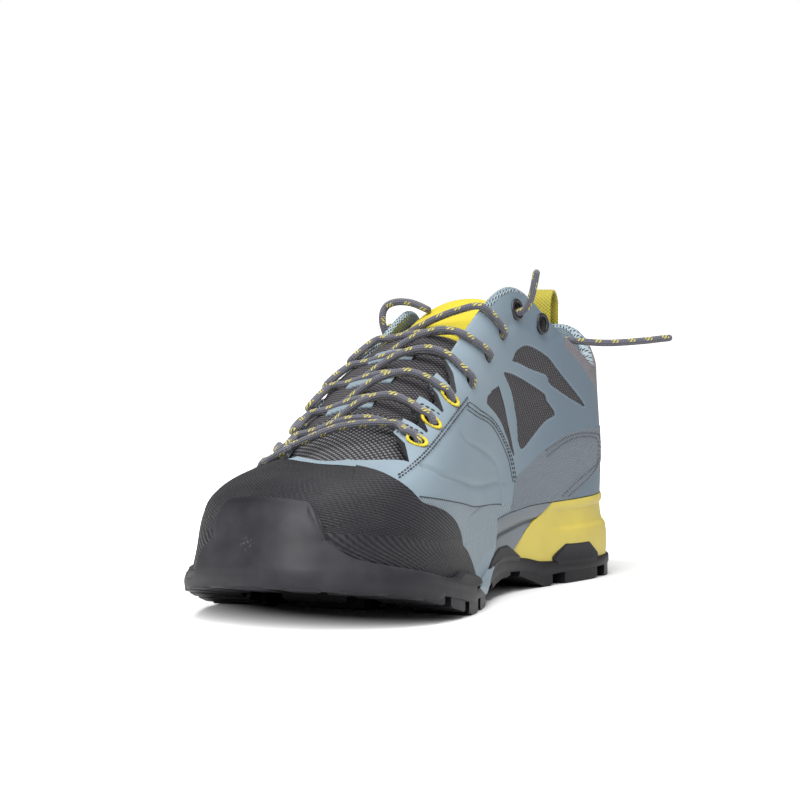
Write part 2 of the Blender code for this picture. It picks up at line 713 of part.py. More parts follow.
def tube(name, points, diameter, where, finish_name):
    """A round cord along a route."""
    curve = bpy.data.curves.new(name, "CURVE")
    curve.dimensions = "3D"
    curve.bevel_depth = diameter / 2 * MM
    curve.bevel_resolution = CORD_BEVEL_STEPS
    curve.use_fill_caps = True
    line = curve.splines.new("POLY")
    line.points.add(len(points) - 1)
    for point, place in zip(line.points, placed(points)):
        point.co = (*place, 1.0)
    curve.materials.append(finish(finish_name))
    made = bpy.data.objects.new(name, curve)
    where.objects.link(made)
    return made


def as_mesh(piece, where):
    """A curve object turned into a closed mesh of the same name."""
    bpy.context.view_layer.update()
    mesh = bpy.data.meshes.new_from_object(piece.evaluated_get(bpy.context.evaluated_depsgraph_get()))
    work = bmesh.new()
    work.from_mesh(mesh)
    bmesh.ops.remove_doubles(work, verts=work.verts, dist=MERGE_DISTANCE * MM)
    work.to_mesh(mesh)
    work.free()
    name = piece.name
    bpy.data.objects.remove(piece, do_unlink=True)
    made = bpy.data.objects.new(name, mesh)
    where.objects.link(made)
    return made


def lace_end(row, mirror):
    """A strand's last points: over the throat's edge and down the eyestay to its eyelet."""
    lift = LACE_DIAMETER / 2 + LACE_LIFT
    u, t = eyelet_place(row, mirror)
    tip = N_SECTIONS - row[2] if mirror else row[2]
    over = outward(tip, 1.0) + (0, 0, 1.0)
    crest = head(tip) + lift * EDGE_CREST * over / np.linalg.norm(over)
    return [crest, offset_side((u + tip) / 2, (1 + t) / 2, lift), offset_side(u, t, lift)]


def lace_start(row, mirror):
    """Where a strand comes out from under the throat's edge."""
    tip = row[2] - LACE_STEP_BACK
    tip = N_SECTIONS - tip if mirror else tip
    inward = np.array([0, 1.0 if mirror else -1.0, 0])
    return head(tip) + LACE_CLEARANCE * inward + (0, 0, -LACE_DROP)


def strand(lower, upper_row, mirror, rise):
    """One strand from under an edge across to the next eyelet up on the other side."""
    start, finish_points = lace_start(lower, mirror), lace_end(upper_row, not mirror)
    middle = (start + finish_points[0]) / 2 + (0, 0, rise)
    return spline([start, middle, *finish_points], STRAND_POINTS)


def laces(parts, cutters):
    """The crossings of the lace, two strands joined in each, and the bar under them."""
    rows = [EYELETS[name] for name in LACED]
    first = lace_end(rows[0], False)[::-1] + lace_end(rows[0], True)
    tube("lace_bar", spline(first, STRAND_POINTS), LACE_DIAMETER, parts, "lace_cord")
    for i, (lower, upper_row) in enumerate(zip(rows, rows[1:]), 1):
        over, under = (strand(lower, upper_row, *way) for way in STRAND_RISES.items())
        cross = as_mesh(tube(f"lace_cross_{i}", over, LACE_DIAMETER, parts, "lace_cord"), parts)
        other = as_mesh(tube(f"strand_{i}", under, LACE_DIAMETER, cutters, "lace_cord"), cutters)
        other.hide_render = True
        other.display_type = "WIRE"
        boolean(cross, other, "UNION")


def eyelet_rings(parts):
    """Round eyelets near the top of the throat, two on each side."""
    for mirror, side_name in ((False, "inner"), (True, "outer")):
        for k, name in enumerate(("ring_front", "ring_back"), 1):
            u, t = eyelet_place(EYELETS[name], mirror)
            normal = outward(u, t)
            bpy.ops.mesh.primitive_torus_add(
                major_radius=RING_RADIUS * MM,
                minor_radius=RING_WIRE / 2 * MM,
                major_segments=RING_SEGMENTS[0],
                minor_segments=RING_SEGMENTS[1],
            )
            ring = bpy.context.object
            ring.name = f"eyelet_ring_{side_name}_{k}"
            ring.location = placed(side(u, t) + (RING_WIRE / 2 + SEAT_GAP) * normal)
            ring.rotation_mode = "QUATERNION"
            ring.rotation_quaternion = Vector(normal).to_track_quat("Z", "Y")
            ring.data.materials.append(finish("dark_metal"))
            for owner in list(ring.users_collection):
                owner.objects.unlink(ring)
            parts.objects.link(ring)


def lace_tails(parts):
    """The lace's loose ends and its slack loop, each a cord of its own."""
    for name, route in CORD_ROUTES.items():
        length = np.linalg.norm(np.diff(np.array(route), axis=0), axis=1).sum()
        count = max(CORD_LEAST_POINTS, int(length / (CORD_POINT_STEP * LACE_DIAMETER)) + 1)
        tube(name, spline(route, count), LACE_DIAMETER, parts, "lace_cord")


def main():
    """Builds the whole shoe in an empty scene."""
    clear_scene()
    parts = collection("hiking_shoe", bpy.context.scene.collection)
    cutters = collection("cutters", bpy.context.scene.collection)
    outsole(parts, cutters)
    foam(parts, cutters)
    insole(parts)
    upper(parts, cutters)
    toe_cap(parts)
    tongue(parts)
    pull_loop(parts)
    eyelet_rings(parts)
    laces(parts, cutters)
    lace_tails(parts)


main()
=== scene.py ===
"""Looks of a low hiking shoe for the right foot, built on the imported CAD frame.

Tables are in shoe millimetres: station forward from the heel's back, then across towards the inner side,
then height. A place on the shoe's side is (u, t): u counts the sections round the shoe from the heel's back
along the inner side, and t is -1 at the sole's edge, 0 where the upper starts and 1 at the collar or throat.
"""

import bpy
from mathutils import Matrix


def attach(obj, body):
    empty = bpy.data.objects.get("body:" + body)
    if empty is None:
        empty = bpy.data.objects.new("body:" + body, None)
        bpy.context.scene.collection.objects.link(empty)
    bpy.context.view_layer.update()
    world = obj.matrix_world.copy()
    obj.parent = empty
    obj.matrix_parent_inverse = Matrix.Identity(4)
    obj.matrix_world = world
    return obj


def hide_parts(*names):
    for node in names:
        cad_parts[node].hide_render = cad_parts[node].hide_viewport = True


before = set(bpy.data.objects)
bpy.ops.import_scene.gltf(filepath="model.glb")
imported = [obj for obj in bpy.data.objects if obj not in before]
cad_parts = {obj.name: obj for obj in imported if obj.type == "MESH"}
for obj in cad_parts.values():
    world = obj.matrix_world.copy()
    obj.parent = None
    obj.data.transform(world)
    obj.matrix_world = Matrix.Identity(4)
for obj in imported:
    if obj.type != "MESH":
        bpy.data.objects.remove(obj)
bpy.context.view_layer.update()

import logging
import math
from abc import ABC, abstractmethod
from collections.abc import Iterator
from contextlib import contextmanager
from dataclasses import dataclass
from enum import Enum

import bmesh
import bpy
import numpy as np
from mathutils import Vector
from mathutils.kdtree import KDTree

Array = np.ndarray
Values = float | Array
Colour = tuple[float, float, float]
Place = tuple[float, float]
Point = tuple[float, float, float]
Object = bpy.types.Object
Mesh = bpy.types.Mesh
Material = bpy.types.Material
Outputs = bpy.types.NodeOutputs
Socket = bpy.types.NodeSocket
Feed = float | tuple | Socket
Feeds = dict[str | int, Feed]

LOG = logging.getLogger("hiking_shoe")
MM = 0.001
# Distances in millimetres: largest one that a field stores, and within which points are merged
REACH = 14.0
WELD = 0.002
# Places where a curve is read for each point of its route
CURVE_STEPS = 40
# Name of the UV map with the lengths that weaves are drawn by
CLOTH = "cloth"
# Where the row frame's origin lies in shoe millimetres
FRAME_ORIGIN = np.array([149.5, 0.0, 0.0])

# Sections round the shoe: edge of the outsole in plan, how far it stands out past the midsole, bulge of the
# wall, edge of the upper, slope of the wall there in degrees, fullness low down and high up
SECTION_COLUMNS = "sole_s sole_y welt swell head_s head_y head_z lean rise reach".split()
SECTIONS = {
    "heel_back": (0, 0, 1.5, 3.2, 6.5, 0, 104, 82, 0.38, 0.35),
    "heel_corner_inner": (9.5, 26, 1.4, 3.6, 9.5, 18.5, 101, 82, 0.38, 0.35),
    "heel_side_inner": (34, 39, 1.2, 2.4, 29, 32.3, 88, 80, 0.40, 0.35),
    "ankle_inner": (66, 38.5, 1.2, 2.0, 52, 34.3, 94, 77, 0.40, 0.35),
    "waist_inner": (100, 34.5, 1.2, 1.2, 80, 30.8, 107.5, 73, 0.40, 0.38),
    "arch_inner": (133, 34.0, 1.2, 2.0, 105, 24.5, 120, 62, 0.42, 0.40),
    "instep_inner": (166, 40, 2.2, 2.0, 136, 20.5, 107, 48, 0.45, 0.42),
    "ball_inner": (199, 49, 4.6, 2.0, 166, 20.5, 91, 38, 0.50, 0.46),
    "vamp_inner": (231, 53.5, 4.6, 2.0, 194, 21, 77.5, 29, 0.56, 0.50),
    "toe_side_inner": (262, 51, 4.8, 2.0, 217, 20.5, 65.5, 22, 0.64, 0.54),
    "toe_corner_inner": (287, 37, 4.8, 2.0, 229, 14, 58.5, 16, 0.70, 0.56),
    "toe_tip": (299, 9, 4.8, 2.0, 234, 1, 57, 12, 0.72, 0.58),
    "toe_corner_outer": (279, -29, 4.8, 2.0, 231, -11, 58.5, 20, 0.74, 0.58),
    "toe_side_outer": (252, -44, 4.8, 2.0, 219, -20, 58, 30, 0.70, 0.56),
    "vamp_outer": (224, -52, 4.6, 2.0, 197, -25, 65.6, 49, 0.56, 0.50),
    "ball_outer": (196, -53.5, 4.6, 2.0, 168, -26, 80.2, 57, 0.50, 0.46),
    "instep_outer": (166, -50.5, 2.2, 2.0, 137, -21.5, 96.5, 60, 0.45, 0.42),
    "arch_outer": (134, -45, 1.2, 2.0, 104, -21.5, 110.5, 62, 0.42, 0.40),
    "waist_outer": (100, -41.5, 1.2, 1.0, 79, -28, 102, 72, 0.40, 0.38),
    "ankle_outer": (66, -41, 1.5, 1.0, 51, -32, 90, 76, 0.40, 0.35),
    "heel_side_outer": (34, -39, 1.5, 1.5, 29, -29, 85, 78, 0.40, 0.35),
    "heel_corner_outer": (10, -26, 1.5, 3.0, 10, -16, 100, 82, 0.38, 0.35),
}
SECTION_COUNT = len(SECTIONS)

# Levels along the sole: bottom of the lugs, bottom of the plate, top of the outsole, rim of the midsole
LEVEL_COLUMNS = "station ground tread split feather".split()
LEVELS = (
    (0, 3.0, 6.0, 10.5, 36.0),
    (14, 0, 4.5, 9.0, 35.0),
    (60, 0, 4.5, 8.8, 33.5),
    (96, 0, 4.5, 10.4, 33.0),
    (110, 5, 7.0, 12.6, 32.0),
    (138, 7, 9.0, 15.0, 29.0),
    (165, 3, 6.0, 12.0, 26.0),
    (178, 0, 4.5, 9.5, 25.0),
    (206, 0, 4.5, 9.5, 25.0),
    (231, 4.2, 8.0, 12.5, 26.0),
    (255, 8.8, 12.0, 16.5, 28.5),
    (278, 12.5, 15.5, 19.5, 31.0),
    (300, 15.5, 18.0, 22.0, 33.0),
)
TOE_MIDDLE = 11.13


class Half(Enum):
    """Which half of the shoe a paired piece belongs to."""

    INNER = "inner"
    OUTER = "outer"

    def place(self, u: Values) -> Values:
        """Carries a place given on the inner half over to this half."""
        return u if self is Half.INNER else SECTION_COUNT - u


def hermite(start: Array, end: Array, leaving: Array, arriving: Array, t: Array) -> Array:
    """Reads a cubic between two values with given slopes.

    Args:
        start: Value at t = 0.
        end: Value at t = 1.
        leaving: Slope at t = 0.
        arriving: Slope at t = 1.
        t: Share of the way.

    Returns:
        The values at t.
    """
    rise = end - start
    square = 3 * rise - 2 * leaving - arriving
    return start + t * (leaving + t * (square + t * (leaving + arriving - 2 * rise)))


def smooth_read(rows: tuple, place: Values, value: int = 1) -> Array:
    """Reads a column of a short table at any place along its first one, never overshooting its rows.

    Args:
        rows: The table, with rising first entries.
        place: Where to read it.
        value: Index of the column.

    Returns:
        The values at those places.
    """
    table = np.array(rows, float)
    x, y = table[:, 0], table[:, value]
    step, slope = np.diff(x), np.diff(y) / np.diff(x)
    tangent = np.zeros(len(x))
    same_way = slope[:-1] * slope[1:] > 0
    mean = 2 * slope[:-1] * slope[1:] / np.where(same_way, slope[:-1] + slope[1:], 1)
    tangent[1:-1] = np.where(same_way, mean, 0)
    tangent[0], tangent[-1] = slope[0], slope[-1]
    place = np.clip(place, x[0], x[-1])
    i = np.clip(np.searchsorted(x, place, side="right") - 1, 0, len(x) - 2)
    t = (place - x[i]) / step[i]
    return hermite(y[i], y[i + 1], tangent[i] * step[i], tangent[i + 1] * step[i], t)


def running(points: Array) -> Array:
    """Length along a line of points up to each of them."""
    return np.concatenate([[0], np.cumsum(np.linalg.norm(np.diff(points, axis=0), axis=1))])


def crossed(down: Array, across: Array) -> Array:
    """Pairs each value of one row of numbers with each of another, as a grid."""
    return np.stack(np.meshgrid(down, across, indexing="ij"), -1)


def spline(route: Array | tuple, count: int) -> Array:
    """Spaces points evenly along a smooth curve through a route's own points.

    Args:
        route: Points in the plane or in space.
        count: How many points to return.

    Returns:
        The points along the curve.
    """
    points = np.asarray(route, float)
    ends = np.concatenate([2 * points[:1] - points[1:2], points, 2 * points[-1:] - points[-2:-1]])
    slope = (ends[2:] - ends[:-2]) / 2
    fine = np.linspace(0, len(points) - 1, CURVE_STEPS * len(points))
    i = np.minimum(fine.astype(int), len(points) - 2)
    curve = hermite(points[i], points[i + 1], slope[i], slope[i + 1], (fine - i)[:, None])
    length = running(curve)
    even = np.linspace(0, length[-1], count)
    return np.stack([np.interp(even, length, curve[:, k]) for k in range(points.shape[1])], -1)


def smoothstep(low: float, high: float, value: Array) -> Array:
    """Rises softly from 0 to 1 between two limits."""
    t = np.clip((value - low) / (high - low), 0, 1)
    return t * t * (3 - 2 * t)


def unit(vectors: Array) -> Array:
    """Scales vectors to length 1."""
    return vectors / np.linalg.norm(vectors, axis=-1, keepdims=True)


def with_height(plan: Array, height: Values) -> Array:
    """Adds a height to plan points."""
    return np.concatenate([plan, np.broadcast_to(height, plan.shape[:-1])[..., None]], -1)


def in_frame(points: Array) -> Array:
    """Carries points from shoe millimetres into the frame's metres."""
    return (points - FRAME_ORIGIN) * MM


class ShoeForm:
    """The shoe's shape, from its sections and the levels along its sole."""

    FOOT_INSET = 2.5
    SPINE_ENDS = (40.0, 246.0)
    # Places on each half where the sole's middle line is measured
    HALF_POINTS = 200
    # Steps that normals are measured over, and the height from which the side runs straight on past its edge
    STEP_U, STEP_T = 0.02, 0.01
    RUN_FROM = 0.97

    def __init__(self) -> None:
        """Fits closed smooth curves through the sections and finds the sole's middle line."""
        table = np.array(list(SECTIONS.values()), float)
        one = np.eye(SECTION_COUNT)
        system = 4 * one + np.roll(one, 1, 0) + np.roll(one, -1, 0)
        slopes = np.linalg.solve(system, 3 * (np.roll(table, -1, 0) - np.roll(table, 1, 0)))
        self._values = dict(zip(SECTION_COLUMNS, table.T))
        self._slopes = dict(zip(SECTION_COLUMNS, slopes.T))
        half = np.linspace(0, SECTION_COUNT / 2, self.HALF_POINTS)
        self._middle = (self.outline(half) + self.outline(-half)) / 2

    def read(self, name: str, u: Values) -> Array:
        """Reads a section column at any place round the shoe.

        Args:
            name: Name of the column.
            u: Place round the shoe.

        Returns:
            The column's values there.
        """
        u = np.asarray(u, float) % SECTION_COUNT
        low = np.floor(u).astype(int) % SECTION_COUNT
        high = (low + 1) % SECTION_COUNT
        values, slopes = self._values[name], self._slopes[name]
        return hermite(values[low], values[high], slopes[low], slopes[high], u - np.floor(u))

    def level(self, name: str, station: Values) -> Array:
        """Reads a level of the sole."""
        return smooth_read(LEVELS, station, LEVEL_COLUMNS.index(name))

    def outline(self, u: Values) -> Array:
        """Edge of the outsole in plan."""
        return np.stack([self.read("sole_s", u), self.read("sole_y", u)], -1)

    def spine(self, u: Values) -> Array:
        """Middle line of the sole that its rings close on.

        Args:
            u: Place round the shoe.

        Returns:
            Plan points on the middle line.
        """
        station = (self.outline(u) + self.outline(-np.asarray(u)))[..., 0] / 2
        station = np.clip(station, *self.SPINE_ENDS)
        return np.stack([station, np.interp(station, self._middle[:, 0], self._middle[:, 1])], -1)

    def inset(self, u: Values, distance: Values) -> Array:
        """Points of the plan outline moved in towards the spine."""
        edge = self.outline(u)
        return edge + unit(self.spine(u) - edge) * np.asarray(distance)[..., None]

    def sole_edge(self, u: Values) -> Array:
        """Lower edge of the midsole's side."""
        plan = self.inset(u, self.read("welt", u))
        return with_height(plan, self.level("split", plan[..., 0]))

    def feather(self, u: Values) -> Array:
        """Line where the upper's wall starts, on the rim of the midsole."""
        plan = self.inset(u, self.read("welt", u) + self.FOOT_INSET)
        return with_height(plan, self.level("feather", plan[..., 0]))

    def head(self, u: Values) -> Array:
        """Edge of the upper round the collar and throat."""
        return np.stack([self.read(name, u) for name in ("head_s", "head_y", "head_z")], -1)

    def side(self, u: Values, t: Values) -> Array:
        """The shoe's outer side.

        Args:
            u: Place round the shoe.
            t: Height on the side.

        Returns:
            Points in space.
        """
        u, t = np.broadcast_arrays(np.asarray(u, float), np.asarray(t, float))
        foot, top = self.feather(u), self.head(u)
        across = (top - foot)[..., :2]
        span = np.linalg.norm(across, axis=-1)
        inward = with_height(across / span[..., None], 0.0)
        height = top[..., 2] - foot[..., 2]
        lean = np.radians(self.read("lean", u))
        up = np.array([0.0, 0.0, 1.0])
        low = foot + up * (self.read("rise", u) * height)[..., None]
        low = low - inward * self.read("swell", u)[..., None]
        direction = inward * np.cos(lean)[..., None] + up * np.sin(lean)[..., None]
        high = top - direction * (self.read("reach", u) * np.hypot(span, height))[..., None]
        w = np.clip(t, 0, 1)[..., None]
        wall = (1 - w) ** 3 * foot + 3 * w * (1 - w) ** 2 * low + 3 * w**2 * (1 - w) * high + w**3 * top
        below = np.clip(-t, 0, 1)[..., None]
        return wall + below * (self.sole_edge(u) - foot)

    def outward(self, u: Values, t: Values) -> Array:
        """Normal of the outer side, pointing away from the foot.

        Args:
            u: Place round the shoe.
            t: Height on the side.

        Returns:
            Unit vectors.
        """
        u, t = np.asarray(u, float), np.asarray(t, float)
        along = self.side(u + self.STEP_U, t) - self.side(u - self.STEP_U, t)
        above, below = np.minimum(t + self.STEP_T, 1), np.maximum(t - self.STEP_T, -1)
        upward = self.side(u, above) - self.side(u, below)
        return unit(np.cross(upward, along))

    def off(self, u: Values, t: Values, distance: Values) -> Array:
        """The outer side moved out, running straight on past its edge where t is over 1.

        Args:
            u: Place round the shoe.
            t: Height on the side.
            distance: How far to move out.

        Returns:
            Points in space.
        """
        u, t, distance = np.broadcast_arrays(*(np.asarray(x, float) for x in (u, t, distance)))
        last = np.minimum(t, 1)
        base = self.side(u, last) + self.outward(u, last) * distance[..., None]
        run = (self.side(u, 1.0) - self.side(u, self.RUN_FROM)) / (1 - self.RUN_FROM)
        return base + run * np.maximum(t - 1, 0)[..., None]


FORM = ShoeForm()


class MeshBuilder:
    """Gathers grids of points in shoe millimetres and turns them into one mesh object."""

    UV_NAME = "place"

    def __init__(self) -> None:
        """Starts with nothing gathered."""
        self._points: list[Array] = []
        self._faces: list[Array] = []
        self._uv: list[Array] = []
        self._slots: list[Array] = []
        self._count = 0

    def grid(
        self, points: Array, uv: Array | None = None, closed: bool = False, slot: int = 0
    ) -> "MeshBuilder":
        """Adds a grid of faces.

        Args:
            points: Points as rows, columns, coordinates.
            uv: A pair for each point, with one more column where the grid is closed.
            closed: Whether the last column joins on to the first.
            slot: Material slot of its faces.

        Returns:
            The builder itself.
        """
        rows, columns = points.shape[:2]
        i, j = np.meshgrid(np.arange(rows - 1), np.arange(columns if closed else columns - 1), indexing="ij")
        corners = [(i, j), (i, j + 1), (i + 1, j + 1), (i + 1, j)]
        faces = np.stack([a * columns + b % columns for a, b in corners], -1).reshape(-1, 4)
        if uv is None:
            uv = crossed(np.arange(rows), np.arange(columns + 1))
        self._uv.append(np.stack([uv[a, b] for a, b in corners], -2).reshape(-1, 2))
        self._faces.append(faces + self._count)
        self._slots.append(np.full(len(faces), slot))
        self._points.append(points.reshape(-1, 3))
        self._count += rows * columns
        return self

    def build(self, name: str, weld: bool = True) -> Object:
        """Makes the object, with its faces pointing out and shaded smooth.

        Args:
            name: Name of the object.
            weld: Whether to merge points that lie on each other.

        Returns:
            The new object, at the origin.
        """
        mesh = bpy.data.meshes.new(name)
        points = in_frame(np.concatenate(self._points))
        mesh.from_pydata(points, [], np.concatenate(self._faces))
        layer = mesh.uv_layers.new(name=self.UV_NAME)
        layer.data.foreach_set("uv", np.concatenate(self._uv).astype(np.float32).ravel())
        mesh.polygons.foreach_set("material_index", np.concatenate(self._slots).astype(np.int32))
        clean(mesh, weld)
        return new_object(name, mesh)


@contextmanager
def edited(mesh: Mesh) -> Iterator[bmesh.types.BMesh]:
    """Opens a mesh for editing and writes it back afterwards.

    Args:
        mesh: The mesh.

    Yields:
        The open mesh.
    """
    work = bmesh.new()
    work.from_mesh(mesh)
    yield work
    work.to_mesh(mesh)
    work.free()


def clean(mesh: Mesh, weld: bool = True) -> None:
    """Merges doubled points, turns the faces out and shades them smooth.

    Args:
        mesh: The mesh to treat.
        weld: Whether to merge points that lie on each other.
    """
    with edited(mesh) as work:
        if weld:
            bmesh.ops.remove_doubles(work, verts=work.verts, dist=WELD * MM)
        bmesh.ops.recalc_face_normals(work, faces=work.faces)
    mesh.shade_smooth()


def new_object(name: str, data: bpy.types.ID) -> Object:
    """Links a new object to the scene.

    Args:
        name: Name of the object.
        data: Its mesh, curve, light or camera.

    Returns:
        The object.
    """
    made = bpy.data.objects.new(name, data)
    bpy.context.scene.collection.objects.link(made)
    return made


def baked(piece: Object) -> Object:
    """Turns a piece's modifiers into its own mesh.

    Args:
        piece: The object with live modifiers.

    Returns:
        The same object with plain data.
    """
    bpy.context.view_layer.update()
    graph = bpy.context.evaluated_depsgraph_get()
    mesh = bpy.data.meshes.new_from_object(piece.evaluated_get(graph))
    piece.modifiers.clear()
    piece.data = mesh
    mesh.name = piece.name
    return piece


def boolean(piece: Object, cutter: Object) -> Object:
    """Cuts one solid out of another and removes the cutter.

    Args:
        piece: The solid to cut.
        cutter: The solid to take away.

    Returns:
        The cut piece.
    """
    cut = piece.modifiers.new("cut", "BOOLEAN")
    cut.object = cutter
    cut.solver = "EXACT"
    baked(piece)
    bpy.data.objects.remove(cutter, do_unlink=True)
    return piece


def point_attribute(mesh: Mesh, name: str, values: Array) -> None:
    """Stores one number or vector for each point of a mesh.

    Args:
        mesh: The mesh.
        name: Name of the attribute.
        values: Numbers, or vectors along the last axis.
    """
    vector = np.ndim(values) == 2
    made = mesh.attributes.new(name, "FLOAT_VECTOR" if vector else "FLOAT", "POINT")
    made.data.foreach_set("vector" if vector else "value", np.asarray(values, np.float32).ravel())


def points_of(mesh: Mesh) -> Array:
    """Reads a mesh's points.

    Args:
        mesh: The mesh.

    Returns:
        Points in shoe millimetres.
    """
    points = np.empty(3 * len(mesh.vertices), np.float32)
    mesh.vertices.foreach_get("co", points)
    return points.reshape(-1, 3).astype(float) / MM + FRAME_ORIGIN


def distance_to(points: Array, line: Array, reach: float = REACH) -> Array:
    """Distances from points to a dense line.

    Args:
        points: Points to measure.
        line: Points along the line.
        reach: Largest distance that matters.

    Returns:
        One distance for each point, at most the reach.
    """
    tree = KDTree(len(line))
    for index, place in enumerate(line):
        tree.insert(place, index)
    tree.balance()
    found = np.full(len(points), reach)
    inside = ((points > line.min(0) - reach) & (points < line.max(0) + reach)).all(1)
    for index in np.flatnonzero(inside):
        found[index] = min(reach, tree.find(points[index])[2])
    return found


@dataclass(frozen=True)
class SidePath:
    """A line on the shoe's side through a few places.

    Attributes:
        places: Its places (u, t) on the inner half.
        closed: Whether it bounds a panel.
        smooth: Whether it curves through its places or runs straight between them.
    """

    places: tuple[Place, ...]
    closed: bool = False
    smooth: bool = True
    STEP, LEAST = 0.5, 8

    def trace(self, half: Half) -> Array:
        """Places close together along the line.

        Args:
            half: Which half of the shoe it lies on.

        Returns:
            Pairs (u, t).
        """
        route = np.array(self.places + self.places[:1] if self.closed else self.places, float)
        route[:, 0] = half.place(route[:, 0])
        length = np.linalg.norm(np.diff(FORM.side(route[:, 0], route[:, 1]), axis=0), axis=1).sum()
        count = max(self.LEAST, int(length / self.STEP))
        if self.smooth:
            return spline(route, count)
        steps = np.linspace(0, len(route) - 1, count)
        return np.stack([np.interp(steps, np.arange(len(route)), route[:, k]) for k in (0, 1)], -1)

    def line(self, half: Half, lift: float = 0.0) -> Array:
        """Points close together along the line."""
        u, t = self.trace(half).T
        return FORM.off(u, t, lift)

    def holds(self, u: Array, t: Array, half: Half) -> Array:
        """Finds which places lie inside the closed line.

        Args:
            u: Places round the shoe.
            t: Heights on the side.
            half: Which half of the shoe the line lies on.

        Returns:
            True for each place inside.
        """
        corners = self.trace(half)
        inside = np.zeros(len(u), bool)
        for (u0, t0), (u1, t1) in zip(corners, np.roll(corners, -1, 0)):
            crosses = (t0 > t) != (t1 > t)
            inside ^= crosses & (u < (u1 - u0) * (t - t0) / (t1 - t0 + 1e-12) + u0)
        return inside

    def depth(self, points: Array, u: Array, t: Array) -> Array:
        """Signed distance from the closed line on both halves, over nought inside it.

        Args:
            points: Points in space.
            u: Their places round the shoe.
            t: Their heights on the side.

        Returns:
            Distances in millimetres.
        """
        found = np.full(len(points), -REACH)
        for half in Half:
            away = distance_to(points, self.line(half))
            found = np.maximum(found, np.where(self.holds(u, t, half), away, -away))
        return found

    def away(self, points: Array) -> Array:
        """Distance from the line on the nearer half."""
        return np.minimum(*(distance_to(points, self.line(half)) for half in Half))


class Graph:
    """Short ways to add and join the nodes of one tree."""

    def __init__(self, tree: bpy.types.NodeTree) -> None:
        """Takes the tree to add to."""
        self.tree = tree

    def add(self, kind: str, feeds: Feeds | None = None, **settings: object) -> bpy.types.Node:
        """Adds a node.

        Args:
            kind: Type name of the node.
            feeds: What each input takes: another node's output, or a value.
            settings: The node's own properties.

        Returns:
            The node.
        """
        node = self.tree.nodes.new(kind)
        for name, value in settings.items():
            setattr(node, name, value)
        for key, value in (feeds or {}).items():
            self.feed(node.inputs[key], value)
        return node

    def feed(self, socket: Socket, value: Feed) -> None:
        """Joins an output to an input, or sets the input's value.

        Args:
            socket: The input.
            value: An output or a value, a colour without its alpha.
        """
        if isinstance(value, Socket):
            self.tree.links.new(value, socket)
        else:
            socket.default_value = (*value, 1.0) if socket.type == "RGBA" else value


